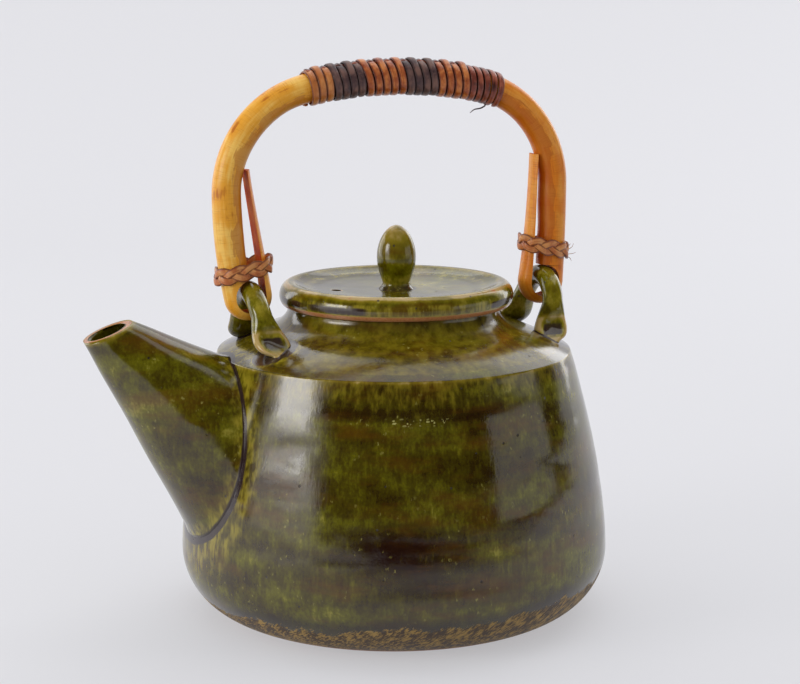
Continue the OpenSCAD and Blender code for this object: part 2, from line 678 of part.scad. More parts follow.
module grip_core_strip() {
    half_angle = 26;
    color(tan_strand) skin([for (d = steps(-wrap_start + turn_w, wrap_end - turn_w, 24))
        concat(
            [for (a = steps(half_angle, -half_angle, 4)) grip_point(d, a, cane_r + strand_gap / 2)],
            [for (a = steps(-half_angle, half_angle, 4))
                grip_point(d, a, cane_r + strand_gap + core_lift(a))])]);
}

module grip_wrap_tan() {
    color(tan_strand) wide_run(-wrap_start, tan_turns);
}

module grip_wrap_dark_1() {
    color(dark_strand) wide_run(dark_1_start, dark_turns);
}

module grip_wrap_red_1() {
    color(red_strand) wide_run(red_1_start, red_1_turns);
}

module grip_wrap_dark_2() {
    color(dark_strand) wide_run(dark_2_start, dark_turns);
}

module grip_wrap_red_2() {
    color(red_strand) wide_run(red_2_start, red_2_turns);
}

module grip_wrap_maroon() {
    color(maroon_strand) winding(narrow_start, narrow_turns, narrow_pitch, narrow_w);
}

pot_foot();
pot_bowl();
pot_wall();
pot_shoulder();
strainer();
spout();
spout_side_lug();
rear_lug();
lid();
lid_flange();
lid_knob();
cane_bow();
spout_side_hook();
rear_hook();
spout_side_binding();
rear_binding();
grip_core_strip();
grip_wrap_tan();
grip_wrap_dark_1();
grip_wrap_red_1();
grip_wrap_dark_2();
grip_wrap_red_2();
grip_wrap_maroon();
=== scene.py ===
# %% [markdown]
# # A hand-thrown teapot with a wrapped cane bow
#
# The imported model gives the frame: every size, joint and body. This notebook dresses it. The clay
# pieces are drawn again with fine, smooth surfaces and get a glossy ash-green glaze; the cane bow,
# its plaited bindings and the wound grip are drawn strand by strand. All lengths below are in
# millimetres, as a potter or a basket maker would give them, and become metres when a mesh is made.

# %% The frame
import math

import bpy
import numpy as np
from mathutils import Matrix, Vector


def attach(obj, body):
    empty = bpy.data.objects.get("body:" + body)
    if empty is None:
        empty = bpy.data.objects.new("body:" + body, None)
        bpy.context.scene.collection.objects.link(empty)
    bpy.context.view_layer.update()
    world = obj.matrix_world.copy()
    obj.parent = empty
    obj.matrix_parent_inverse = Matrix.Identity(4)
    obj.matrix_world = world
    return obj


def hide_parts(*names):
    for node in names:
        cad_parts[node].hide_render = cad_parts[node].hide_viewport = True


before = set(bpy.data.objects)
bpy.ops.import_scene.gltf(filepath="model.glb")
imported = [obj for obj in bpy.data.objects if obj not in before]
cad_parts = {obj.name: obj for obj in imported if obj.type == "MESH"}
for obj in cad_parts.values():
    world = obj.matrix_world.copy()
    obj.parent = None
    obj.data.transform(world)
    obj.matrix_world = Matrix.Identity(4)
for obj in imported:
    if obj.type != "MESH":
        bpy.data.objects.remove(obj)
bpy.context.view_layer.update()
scene = bpy.context.scene
MM = 0.001

# %% [markdown]
# ## Small helpers
#
# A ring mesh joins rings of points, which suits anything that is thrown, bent or swept. Values that
# change over a piece, such as how thin the glaze is, are stored as attributes on its points, and the
# materials read them by name. A closed piece whose faces look inwards encloses a negative volume, so
# that sum tells whether they have to be turned round.

# %% Meshes from rings of points
def placed(name, data):
    made = bpy.data.objects.new(name, data)
    scene.collection.objects.link(made)
    return made


def new_piece(name, mesh):
    mesh.polygons.foreach_set("use_smooth", [True] * len(mesh.polygons))
    return placed(name, mesh)


def loose_points(name, points):
    """Points in millimetres without edges or faces, for a node tree to read."""
    mesh = bpy.data.meshes.new(name)
    mesh.from_pydata([tuple(v * MM for v in point) for point in points], [], [])
    return placed(name, mesh)


def points_of(piece):
    flat = np.empty(len(piece.data.vertices) * 3, np.float32)
    piece.data.vertices.foreach_get("co", flat)
    return flat.reshape(-1, 3).astype(float) / MM


def store(piece, name, values):
    """One number a point, kept as a named attribute. It replaces an earlier one of that name."""
    kept = piece.data.attributes
    if name in kept:
        kept.remove(kept[name])
    made = kept.new(name, "FLOAT", "POINT")
    made.data.foreach_set("value", np.asarray(values, np.float32).ravel())


def face_outwards(piece):
    """Turns the faces round if they enclose a negative volume."""
    mesh = piece.data
    mesh.calc_loop_triangles()
    corners = np.empty(len(mesh.loop_triangles) * 3, np.int32)
    mesh.loop_triangles.foreach_get("vertices", corners)
    p = points_of(piece)[corners.reshape(-1, 3)]
    if np.einsum("ij,ij->i", p[:, 0], np.cross(p[:, 1], p[:, 2])).sum() < 0:
        mesh.flip_normals()
    return piece


def ring_mesh(name, rings, attributes, looks, endless=False):
    """A piece from an array (rings, points in a ring, 3) in millimetres. Its two ends are closed, or
    the last ring meets the first if it is endless. Each attribute has one number a point."""
    rings = np.asarray(rings, float)
    n, m = rings.shape[:2]
    i, j = np.meshgrid(np.arange(n if endless else n - 1), np.arange(m), indexing="ij")
    here, next_ring, beside = i * m, (i + 1) % n * m, (j + 1) % m
    quads = np.stack([here + j, here + beside, next_ring + beside, next_ring + j], -1)
    ends = [] if endless else [list(range(m))[::-1], [(n - 1) * m + k for k in range(m)]]
    mesh = bpy.data.meshes.new(name)
    mesh.from_pydata((rings.reshape(-1, 3) * MM).tolist(), [], quads.reshape(-1, 4).tolist() + ends)
    piece = new_piece(name, mesh)
    for key, values in attributes.items():
        store(piece, key, values)
    for look in looks:
        mesh.materials.append(look)
    print(f"{name}: {len(mesh.polygons)} faces")
    return face_outwards(piece)


def smooth_step(low, high, x):
    t = np.clip((np.asarray(x, float) - low) / (high - low), 0, 1)
    return t * t * (3 - 2 * t)


def unit(degrees):
    return np.array([math.cos(math.radians(degrees)), math.sin(math.radians(degrees))])

# %% [markdown]
# Node trees are built by the script. These small classes keep that short: each call adds one node,
# links what it is given and hands back the node's output, and a sum or a product of such outputs
# adds the maths node for it. A formula then reads as it would on paper.

# %% A short way to build node trees
class Value:
    """An output in a node tree. Sums and products of values add the nodes that work them out."""

    def __init__(self, nodes, socket):
        self.nodes, self.socket = nodes, socket

    def __add__(self, other):
        return self.nodes.combine("ADD", self, other)

    def __sub__(self, other):
        return self.nodes.combine("SUBTRACT", self, other)

    def __rsub__(self, other):
        return self.nodes.combine("SUBTRACT", other, self)

    def __mul__(self, other):
        return self.nodes.combine("MULTIPLY", self, other)

    def __truediv__(self, other):
        return self.nodes.combine("DIVIDE", self, other)

    def __rtruediv__(self, other):
        return self.nodes.combine("DIVIDE", other, self)

    __radd__, __rmul__ = __add__, __mul__

    def __abs__(self):
        return self.nodes.math("ABSOLUTE", self)

    def sin(self):
        return self.nodes.math("SINE", self)

    def cos(self):
        return self.nodes.math("COSINE", self)

    def axis(self, number):
        return self.nodes.add("ShaderNodeSeparateXYZ", {0: self}, number)

    x, y, z = (property(lambda self, k=k: self.axis(k)) for k in range(3))

    def between(self, low, high, to_low=0.0, to_high=1.0):
        """Runs smoothly from to_low, where the value is low, to to_high, where it is high."""
        return self.nodes.add("ShaderNodeMapRange", dict(enumerate((self, low, high, to_low, to_high))),
                              interpolation_type="SMOOTHSTEP")


class Nodes:
    def __init__(self, tree):
        self.tree = tree

    def link(self, value, socket):
        if isinstance(value, Value):
            self.tree.links.new(value.socket, socket)
        else:
            socket.default_value = value

    def node(self, kind, inputs=None, **settings):
        node = self.tree.nodes.new(kind)
        for key, value in settings.items():
            setattr(node, key, value)
        for key, value in (inputs or {}).items():
            self.link(value, node.inputs[key])
        return node

    def add(self, kind, inputs=None, out=0, **settings):
        return Value(self, self.node(kind, inputs, **settings).outputs[out])

    def math(self, operation, *values):
        return self.add("ShaderNodeMath", dict(enumerate(values)), operation=operation)

    def vector(self, operation, *values, out=0):
        return self.add("ShaderNodeVectorMath", dict(enumerate(values)), out, operation=operation)

    def combine(self, operation, a, b):
        """Two numbers, two vectors, or a vector and the number that it is multiplied by."""
        vectors = [isinstance(v, tuple) or isinstance(v, Value) and v.socket.type == "VECTOR"
                   for v in (a, b)]
        if operation == "MULTIPLY" and any(vectors) and not all(vectors):
            vector, number = (a, b) if vectors[0] else (b, a)
            return self.add("ShaderNodeVectorMath", {0: vector, "Scale": number}, operation="SCALE")
        return (self.vector if any(vectors) else self.math)(operation, a, b)

    def join(self, x, y, z):
        return self.add("ShaderNodeCombineXYZ", {0: x, 1: y, 2: z})

    def mix(self, share, a, b, **settings):
        return self.add("ShaderNodeMix", {0: share, 6: a, 7: b}, 2, data_type="RGBA", **settings)

    def noise(self, vector, detail=2.0, rough=0.5):
        return self.add("ShaderNodeTexNoise", {"Vector": vector, "Scale": 1.0, "Detail": detail,
                                               "Roughness": rough})

    def cells(self, vector):
        """Distance from the middle of the nearest of many scattered cells, each about one wide."""
        return self.add("ShaderNodeTexVoronoi", {"Vector": vector, "Scale": 1.0})


def tree_with(name, kind, inputs):
    """A tree with named inputs. A value shows its kind, and a word names the kind of an empty one."""
    tree = bpy.data.node_groups.new(name, kind)
    for label, value in inputs.items():
        if isinstance(value, str):
            kind = value
        elif isinstance(value, tuple):
            kind = "Vector" if len(value) == 3 else "Color"
        else:
            kind = "Int" if isinstance(value, int) else "Float"
        socket = tree.interface.new_socket(label, in_out="INPUT", socket_type="NodeSocket" + kind)
        if kind != value:
            socket.default_value = value
    g, given = Nodes(tree), tree.nodes.new("NodeGroupInput").outputs
    return g, {label: Value(g, given[label]) for label in inputs}


def finish_tree(g, take, geometry):
    real = g.add("GeometryNodeRealizeInstances", {0: geometry})
    done = g.add("GeometryNodeSetMaterial", {"Geometry": real, "Material": take["Material"]})
    g.tree.interface.new_socket("Geometry", in_out="OUTPUT", socket_type="NodeSocketGeometry")
    g.link(done, g.tree.nodes.new("NodeGroupOutput").inputs[0])
    return g.tree


def grow(name, tree, values, base=None):
    """Runs a tree on a piece with these values and returns the result as a plain mesh piece."""
    base = base or placed(name + "_seed", bpy.data.meshes.new(name + "_seed"))
    modifier = base.modifiers.new("Grow", "NODES")
    modifier.node_group = tree
    for socket in tree.interface.items_tree:
        if socket.in_out == "INPUT" and socket.name in values:
            modifier[socket.identifier] = values[socket.name]
    base.update_tag()
    evaluated = base.evaluated_get(bpy.context.evaluated_depsgraph_get())
    mesh = bpy.data.meshes.new_from_object(evaluated)
    mesh.name = name
    bpy.data.objects.remove(base)
    print(f"{name}: {len(mesh.polygons)} faces")
    return new_piece(name, mesh)

# %% [markdown]
# ## The thrown shapes
#
# A pot on the wheel is one curve turned about an axis, so a potter thinks of its profile. The
# profile is drawn here as points with two notes on each: how much the fingers have grooved the clay
# there, and how thin the glaze has run. It could be spun in the mesh editor, but a Geometry Nodes
# lathe keeps the curve, the number of segments and the depth of the finger rings open to change.

# %% The profiles of the pot
FOOT_R, BELLY_R, BELLY_Z = 51.5, 75.0, 23.0
EDGE_R, EDGE_Z, FULLNESS = 61.6, 92.6, 1.6
NECK_R, NECK_FOOT_Z, NECK_TOP_Z, NECK_T = 36.9, 102.4, 107.9, 2.9
WALL_T, FLOOR_T, SWELL = 4.0, 6.0, 0.4


def shoulder_at(r):
    t = (EDGE_R - r) / (EDGE_R - NECK_R)
    return EDGE_Z + (NECK_FOOT_Z - EDGE_Z) * ((1 + SWELL) * t - SWELL * t * t)


def wall_at(z):
    share = np.maximum(z - BELLY_Z, 0) / (EDGE_Z - BELLY_Z)
    return BELLY_R - (BELLY_R - EDGE_R) * share ** FULLNESS


def softened(points, radius):
    """Rounds the corners of an open line of [r, z, ...] points, as a brush or a finger does."""
    points = [np.asarray(p, float) for p in points]
    out = [points[0]]
    for before, corner, after in zip(points, points[1:], points[2:]):
        to_before, to_after = before[:2] - corner[:2], after[:2] - corner[:2]
        d0, d1 = np.linalg.norm(to_before), np.linalg.norm(to_after)
        turn = np.dot(to_before, to_after) / (d0 * d1)
        if turn < -0.97:
            out.append(corner)
            continue
        reach = min(radius, 0.48 * d0, 0.48 * d1)
        a = corner + (before - corner) * reach / d0
        b = corner + (after - corner) * reach / d1
        for s in np.linspace(0, 1, 7):
            out.append((1 - s) ** 2 * a + 2 * s * (1 - s) * corner + s * s * b)
    return out + [points[-1]]


def filled_in(points, step):
    """Adds points along a line, so that no stretch is longer than step."""
    out = [points[0]]
    for a, b in zip(points, points[1:]):
        n = max(1, math.ceil(np.linalg.norm(b[:2] - a[:2]) / step))
        out += [a + (b - a) * k / n for k in range(1, n + 1)]
    return np.array(out)


# Each point: radius, height, finger grooves, thinness of the glaze
lower = [[FOOT_R + (BELLY_R - FOOT_R) * math.sin(a), BELLY_Z * (1 - math.cos(a)), 0.3, 0]
         for a in np.linspace(0.0, math.pi / 2, 40)]
wall = [[float(wall_at(z)), z, 1, 0] for z in np.linspace(BELLY_Z, EDGE_Z, 70)][1:]
wall[-1] = [EDGE_R, EDGE_Z, 0.2, 1]
wall[-2][3] = 0.8
shoulder = [[r, shoulder_at(r), 0.3, 0] for r in np.linspace(EDGE_R, NECK_R + 9, 24)][1:]
shoulder[0][3] = 0.5
a, b, c = np.array([shoulder[-1][:2], [NECK_R + 0.9, shoulder_at(NECK_R + 0.9)],
                    [NECK_R, NECK_TOP_Z - 0.8]])
neck = [[*((1 - t) ** 2 * a + 2 * t * (1 - t) * b + t * t * c), 0.2, 0]
        for t in np.linspace(0, 1, 16)[1:]]
neck += [[NECK_R, NECK_TOP_Z, 0, 0.6], [NECK_R - NECK_T, NECK_TOP_Z, 0, 0.9]]
inner_r = EDGE_R - WALL_T
under = [[r, shoulder_at(r) - WALL_T, 0, 0.3] for r in np.linspace(NECK_R - NECK_T, inner_r, 20)]
inner = [[float(wall_at(z)) - WALL_T, z, 1, 0.2]
         for z in np.linspace(shoulder_at(inner_r) - WALL_T, BELLY_Z, 60)][1:]
bottom = [[FOOT_R - WALL_T + (BELLY_R - FOOT_R) * math.sin(a),
           FLOOR_T + (BELLY_Z - FLOOR_T) * (1 - math.cos(a)), 0.5, 0]
          for a in np.linspace(math.pi / 2, 0, 24)][1:]
pot_line = softened([[0, 0, 0, 0], [FOOT_R - 3, 0, 0, 0]] + lower + wall + shoulder + neck + under
                    + inner + bottom + [[0, FLOOR_T, 0, 0]], 1.3)
pot_line = filled_in(pot_line, 1.6)
print("pot profile:", len(pot_line), "points")

# %% [markdown]
# The spout's axis is set here already, because a dark pool of glaze follows the line where the
# spout's cone meets the wall, and the colours below have to know where that is.

# %% The spout's axis and cone
# Its tip, rise, mouth and lip, and the half angles of its cone and bore
TIP_X, TIP_Z, RISE, MOUTH_R, LIP_T = 102.8, 103.9, math.radians(43.4), 7.7, 1.8
OUTER, BORE = math.radians(19.4), math.radians(17.4)
AXIS_IN = np.array([math.cos(RISE), 0, -math.sin(RISE)])
TIP = np.array([-TIP_X, 0, TIP_Z])
print("spout rises", round(math.degrees(RISE), 1), "degrees")

# %% [markdown]
# The lathe reads the profile point by point and turns it. Soft finger rings come from a noise that
# changes quickly with height and slowly round the pot; they hardly show in the outline, but the
# light in the glaze bends over them.

# %% The lathe
def unit_grid(g, columns, rows):
    """A flat grid to be bent to shape, with each point's share of the way along it and across it."""
    grid = g.add("GeometryNodeMeshGrid", {"Size X": 1.0, "Size Y": 1.0, "Vertices X": columns,
                                          "Vertices Y": rows})
    place = g.add("GeometryNodeInputPosition")
    return grid, place.x + 0.5, place.y + 0.5


def bent_grid(g, take, grid, where, merge, **attributes):
    """The grid with its points put in place, its attributes stored and its seam and poles merged."""
    for label, value in attributes.items():
        grid = g.add("GeometryNodeStoreNamedAttribute", {
            "Geometry": grid, "Name": label, "Value": value}, data_type="FLOAT", domain="POINT")
    grid = g.add("GeometryNodeSetPosition", {"Geometry": grid, "Position": where})
    grid = g.add("GeometryNodeMergeByDistance", {"Geometry": grid, "Distance": merge})
    return finish_tree(g, take, g.add("GeometryNodeSetShadeSmooth", {"Geometry": grid}))


def lathe_tree():
    g, take = tree_with("Potter's Lathe", "GeometryNodeTree", {
        "Geometry": "Geometry", "Profile": "Object", "Points": 100, "Segments": 192,
        "Ring Depth": 0.0002, "Ring Height": 0.009, "Shift": (0, 0, 0), "Seed": 0.0,
        "Material": "Material"})
    profile = g.add("GeometryNodeObjectInfo", {"Object": take["Profile"]}, out="Geometry")
    grid, around, up = unit_grid(g, take["Segments"] + 1, take["Points"])
    angle = around * (-2 * math.pi)
    row = g.add("FunctionNodeFloatToInt", {0: up * (take["Points"] - 1)}, rounding_mode="ROUND")

    def at_row(value, kind="FLOAT"):
        return g.add("GeometryNodeSampleIndex", {"Geometry": profile, "Value": value, "Index": row},
                     data_type=kind)

    def noted(name):
        return at_row(g.add("GeometryNodeInputNamedAttribute", {"Name": name}, data_type="FLOAT"))

    spot = at_row(g.add("GeometryNodeInputPosition"), "FLOAT_VECTOR")
    slow = 0.35    # how little the noise changes on its way round the pot
    turned = g.join(angle.cos() * slow, angle.sin() * slow, spot.z / take["Ring Height"])
    noise = g.add("ShaderNodeTexNoise", {"Vector": turned, "W": take["Seed"], "Scale": 1.0,
                                         "Detail": 1.5}, noise_dimensions="4D")
    r = spot.x + (noise - 0.5) * (take["Ring Depth"] * 2) * noted("grooved")
    where = g.join(r * angle.cos(), r * angle.sin(), spot.z) + take["Shift"]
    return bent_grid(g, take, grid, where, 1e-6, thin=noted("thin"))


LATHE = lathe_tree()


def thrown(name, line, material, shift=(0, 0, 0), *, segments, seed, depth=0.2, height=9.0):
    """A piece from its profile of [r, z, grooved, thin] points, with finger rings this deep and
    this high in millimetres."""
    line = np.asarray(line, float)
    profile = loose_points(name + "_profile", [(r, 0, z) for r, z in line[:, :2]])
    store(profile, "grooved", line[:, 2])
    store(profile, "thin", line[:, 3])
    piece = grow(name, LATHE, {
        "Profile": profile, "Points": len(line), "Segments": segments, "Ring Depth": depth * MM,
        "Ring Height": height * MM, "Shift": tuple(v * MM for v in shift), "Seed": seed,
        "Material": material})
    bpy.data.objects.remove(profile)
    return piece

# %% [markdown]
# ## The glaze
#
# An ash glaze melts unevenly: it is olive where it lies evenly, runs thin and tan over edges, pools
# dark purple-brown in joints, and breaks into spots. The colours are kept in one shader group that
# the pot, the lugs, the lid and the knob share. It works in millimetres on the piece's own
# coordinates, and puts out only a colour, a roughness and a height for the bump.

# %% Shader helpers
def colour(red, green, blue):
    """A colour as it looks on a screen, 0 to 255, as the linear values that Blender wants."""
    return tuple(((v / 255 + 0.055) / 1.055) ** 2.4 if v > 10 else v / 255 / 12.92
                 for v in (red, green, blue)) + (1.0,)


def stretched(place, size, shift=(0, 0, 0)):
    """The place in units of this size in millimetres, for a texture with features of that size."""
    return place * tuple(1 / v for v in size) + shift


def put_out(g, skin, rough, up):
    """The outputs of a shader group. The height is in millimetres."""
    kinds = {"Color": "Color", "Roughness": "Float", "Height": "Float"}
    for label, kind in kinds.items():
        g.tree.interface.new_socket(label, in_out="OUTPUT", socket_type="NodeSocket" + kind)
    for value, socket in zip((skin, rough, up), g.tree.nodes.new("NodeGroupOutput").inputs):
        g.link(value, socket)
    return g.tree


def material(name, group, values, **sockets):
    """A material of its own shader, fed by a group. Plain numbers go on the shader's own sockets,
    and a word among the group's values names an attribute of the piece."""
    made = bpy.data.materials.new(name)
    made.use_nodes = True
    g = Nodes(made.node_tree)
    shader = made.node_tree.nodes["Principled BSDF"]
    for key, value in sockets.items():
        shader.inputs[key.replace("_", " ")].default_value = value
    effect = g.node("ShaderNodeGroup", node_tree=group)
    millimetres = g.add("ShaderNodeTexCoord", out="Object") * 1000.0
    for key, value in {**values, "Place": millimetres}.items():
        if isinstance(value, str):
            value = g.add("ShaderNodeAttribute", out="Fac", attribute_name=value)
        g.link(value, effect.inputs[key])
    skin, rough, up = (Value(g, socket) for socket in effect.outputs)
    g.link(skin, shader.inputs["Base Color"])
    g.link(rough, shader.inputs["Roughness"])
    g.link(g.add("ShaderNodeBump", {"Distance": MM, "Height": up}), shader.inputs["Normal"])
    return made

# %% The glaze's colours
def glaze_group():
    g, take = tree_with("Ash Glaze", "ShaderNodeTree", {
        "Place": (0, 0, 0), "Thin": 0.0, "Pool": 0.0, "Foot": 0.0, "Green": 0.5, "Thick": 0.0,
        "Marks": 0.0, "Seam": 0.0})
    place = take["Place"]
    z = place.z

    def layer(size, detail=2.0, rough=0.5, shift=(0, 0, 0)):
        return g.noise(stretched(place, size, shift), detail, rough)

    cloud = layer((30, 30, 13), 3.0)
    ripple = layer((50, 50, 5.5), shift=(3, 1, 7))
    blotch = layer((3.6, 3.6, 5.0), shift=(1, 8, 2))
    runs = layer((1.3, 1.3, 8), 3.0, 0.6, (5, 2, 1))
    fine = layer((0.8, 0.8, 1.1), 2.0, 0.6)
    blotched = blotch - 0.5
    # From dark brown through olive to yellow-green. The glaze runs only on the steep wall
    running = (runs - 0.5) * z.between(EDGE_Z + 1, EDGE_Z - 1, 0.12, 1.0)
    # The front of the pot is darkened here by a painted dark reflection
    tone = take["Green"] - take["Thick"] * 0.34 + (cloud - 0.5) * 0.8 + (ripple - 0.5) * 0.42
    tone += blotched * 0.5 + running * 0.32 + (fine - 0.5) * 0.34
    ramp = g.node("ShaderNodeValToRGB", {0: tone})
    stops = [(0.02, colour(38, 14, 2)), (0.28, colour(54, 40, 1)), (0.46, colour(76, 67, 1)),
             (0.64, colour(104, 100, 4)), (0.86, colour(168, 158, 60))]
    while len(ramp.color_ramp.elements) < len(stops):
        ramp.color_ramp.elements.new(0.5)
    for element, (at, value) in zip(ramp.color_ramp.elements, stops):
        element.position, element.color = at, value
    # Iron in the clay stains it amber here and there
    amber = layer((30, 30, 9), 4.0, 0.65, (6, 3, 9)).between(0.46, 0.72, 0.0, 0.6)
    skin = g.mix(amber, Value(g, ramp.outputs[0]), colour(98, 60, 4))
    # Where the glaze is thin it turns yellow and then tan, and it runs down from there in streaks
    edge = take["Thin"] + running * 0.9 + blotched * 0.7
    skin = g.mix(edge.between(0.12, 0.75, 0.0, 0.6), skin, colour(158, 136, 34))
    skin = g.mix(edge.between(0.62, 0.95, 0.0, 0.9), skin, colour(190, 162, 104))
    bare = (take["Thin"] + blotched * 0.5).between(1.0, 1.1)
    skin = g.mix(bare, skin, g.mix(fine, colour(160, 98, 54), colour(204, 142, 96)))
    # A pool follows the line where the spout's cone meets the wall
    from_tip = place - tuple(float(v) for v in TIP)
    axis = tuple(float(v) for v in AXIS_IN)
    along = g.vector("DOT_PRODUCT", from_tip, axis, out="Value")
    off = g.vector("LENGTH", from_tip - along * axis, out="Value")
    off = off - MOUTH_R - along * math.tan(OUTER)
    seam = abs(off).between(3.4, 1.4) * g.math("LESS_THAN", place.x, 0.0) * take["Seam"]
    # A yellow zone beside each pool, and the dark pool itself
    pooled = g.math("MAXIMUM", take["Pool"], seam) + blotched * 0.3
    halo = pooled.between(0.06, 0.42) * (blotch * 0.5 + runs * 0.5).between(0.42, 0.62, 0.1, 0.85)
    skin = g.mix(halo, skin, colour(154, 138, 38))
    skin = g.mix(pooled.between(0.66, 0.88, 0.0, 0.95), skin, colour(46, 30, 34))
    # Specks of yellow-green ash, a row of pale marks, and small dark pinholes
    bent = g.join(fine, runs, 0.0) * 1.3
    some = layer((14, 14, 14), 1.0, shift=(2, 8, 3)).between(0.46, 0.66)
    ash = g.cells(stretched(place, (2.5, 2.5, 4.2)) + bent).between(0.2, 0.06, 0.0, 0.6)
    skin = g.mix(ash * some, skin, colour(168, 160, 80))
    marks = g.cells(stretched(place, (1.7, 1.7, 1.1)) + bent).between(0.36, 0.22)
    skin = g.mix(marks * take["Marks"], skin, colour(176, 170, 98))
    pin = g.cells(stretched(place, (7.3, 7.3, 7.3), (9, 4, 2))).between(0.075, 0.045)
    skin = g.mix(pin * 0.85, skin, colour(34, 18, 12))
    # The foot: a line of bare clay, a scratched and rubbed band, then glaze that stopped running
    height = z - place.x * 0.05 + (layer((18, 18, 30), 4.0, 0.6) - 0.5) * 11.0
    slant = g.add("ShaderNodeVectorRotate", {"Vector": place, "Angle": 0.7, "Axis": (0.3, 1.0, 0.0)})
    scratches = g.noise(stretched(slant, (3.2, 1.4, 0.6)), 4.0, 0.7)
    below = take["Foot"] * height.between(18.5, 14.5)
    skin = g.mix(below * 0.72, skin, colour(40, 26, 18))
    rubbed = take["Foot"] * (height + scratches * -5.0).between(11.4, 10.2)
    flecks = (scratches + blotched * 0.35).between(0.46, 0.60)
    skin = g.mix(rubbed * 0.95, skin, g.mix(flecks, colour(64, 42, 18), colour(186, 150, 80)))
    clay = take["Foot"] * (z + scratches).between(3.4, 2.8)
    skin = g.mix(clay, skin, g.mix(fine, colour(150, 86, 46), colour(188, 122, 74)))
    rough = cloud.between(0.3, 0.7, 0.1, 0.17) + pin * 0.3 + g.math("MAXIMUM", rubbed, clay) * 0.45
    # In millimetres: slow waves in the glaze, orange peel, pinholes and the rubbed foot
    waves = layer((11, 11, 7), 1.0) * 0.14 + layer((70, 70, 11), 0.0, shift=(4, 4, 4)) * 0.9
    peel = fine * 0.012 + runs * 0.03
    cuts = scratches * rubbed * 0.22
    return put_out(g, skin, rough, waves + peel + (cuts - pin * 0.05))


GLAZE = glaze_group()


def glaze(name, green, ior, **values):
    values.update(Thin="thin", Pool="pool", Green=green)
    return material(name, GLAZE, values, IOR=ior)


pot_glaze = glaze("pot_glaze", 0.43, 1.66, Foot=1.0, Thick="thick", Marks="marks", Seam=1.0)
spout_glaze = glaze("spout_glaze", 0.5, 1.62)
lug_glaze = glaze("lug_glaze", 0.64, 1.6)
lid_glaze = glaze("lid_glaze", 0.58, 1.62)
print("glazes made:", GLAZE.name, len(GLAZE.nodes), "nodes")

# %% [markdown]
# ## Cane and strands
#
# Cane bark is hard and shiny, with a honey colour that browns in patches and fine rings across it;
# the split strands that wrap it are duller and show their fibres lengthwise. Both read lengths that
# are stored on the mesh, in millimetres along and across the strand, so the fibres follow every bend.

# %% Fibre colours
def fibre_group():
    g, take = tree_with("Fibre", "ShaderNodeTree", {
        "Place": (0, 0, 0), "Along": 0.0, "Across": 0.0, "Pale": (1, 1, 1, 1),
        "Main": (0.5, 0.5, 0.5, 1), "Dark": (0, 0, 0, 1), "Fibre Width": 0.35, "Patch": 9.0,
        "Rings": 0.0, "Worn": 0.0, "Gloss": 0.4, "Depth": 0.05, "Edge": 0.0, "Stain": 0.0,
        "Aged": 0.0, "Shade": 0.0})
    place, along, across = take["Place"], take["Along"], take["Across"]
    pale, dark = take["Pale"], take["Dark"]
    lines = g.noise(g.join(along / 14.0, across / take["Fibre Width"], 0.0), 3.0, 0.6)
    patch = g.noise(place * (1.0 / take["Patch"]), 3.0, 0.55)
    grain = g.noise(stretched(place, (0.9, 0.9, 0.9)))
    tone = patch + (lines - 0.5) * 0.5
    skin = g.mix(tone.between(0.42, 0.66), take["Main"], pale)
    skin = g.mix(tone.between(0.40, 0.26, 0.0, 0.85), skin, dark)
    ringed = g.noise(g.join(along / 0.32, across / 6.0, 3.0))
    ring = ringed.between(0.50, 0.78) * take["Rings"]
    skin = g.mix(ring, skin, dark)
    skin = g.mix(grain.between(0.52, 0.72) * take["Worn"], skin, pale)
    # Painted shade darkens the edges of each strand, where it meets its neighbours; the inner side of a
    # bend is stained, and old cane is deep orange
    off = abs(across)
    skin = g.mix(off.between(0.7, 1.2) * take["Edge"], skin, dark)
    inner = off + (tone - 0.5) * 12.0
    skin = g.mix(inner.between(8.6, 9.4) * take["Stain"], skin, dark)
    deep = g.mix(1.0, skin, (0.86, 0.46, 0.10, 1), blend_type="MULTIPLY")
    skin = g.mix(take["Aged"], skin, deep)
    # Painted shade: where the Shade input is set, the colour goes almost black
    skin = g.mix(take["Shade"], skin, (0.05, 0.018, 0.01, 1))
    rough = take["Gloss"] + (grain - 0.4) * 0.25
    return put_out(g, skin, rough, (lines - ring * 0.5) * take["Depth"])


FIBRE = fibre_group()
SHADER_SOCKETS = "Coat_Weight", "Coat_Roughness", "Specular_IOR_Level"


def fibre(name, pale, main, dark, **values):
    shader = {key: values.pop(key) for key in SHADER_SOCKETS if key in values}
    return material(name, FIBRE, {
        "Along": "along", "Across": "across", "Pale": colour(*pale), "Main": colour(*main),
        "Dark": colour(*dark), **{key.replace("_", " "): value for key, value in values.items()}},
        **shader)


def strand(name, pale, main, dark, coat, **values):
    """Split cane, with painted shade at its edges."""
    usual = {"Gloss": 0.36, "Depth": 0.1, "Patch": 5.0, "Edge": 0.85}
    return fibre(name, pale, main, dark, Coat_Weight=coat, **{**usual, **values})


cane_bark = fibre("cane_bark", (252, 202, 98), (240, 168, 48), (188, 98, 16), Gloss=0.32, Depth=0.03,
                  Patch=11.0, Specular_IOR_Level=0.3, Rings=0.4, Fibre_Width=0.9, Stain=0.55,
                  Aged="aged", Shade="shade", Coat_Weight=0.12, Coat_Roughness=0.2)
cut_cane = fibre("cut_cane", (214, 116, 44), (200, 78, 12), (118, 44, 10), Gloss=0.5, Depth=0.12,
                 Patch=7.0, Specular_IOR_Level=0.05)
plaited = strand("plaited_cane", (222, 152, 86), (190, 104, 46), (104, 46, 24), 0.25, Depth=0.14,
                 Patch=4.0, Worn=0.3, Edge=0.8)
tan_strand = strand("tan_strand", (218, 144, 78), (190, 108, 44), (104, 50, 26), 0.3, Worn=0.3)
dark_strand = strand("dark_strand", (128, 92, 80), (82, 56, 56), (48, 30, 34), 0.12, Gloss=0.42,
                     Worn=0.6, Edge=0.7)
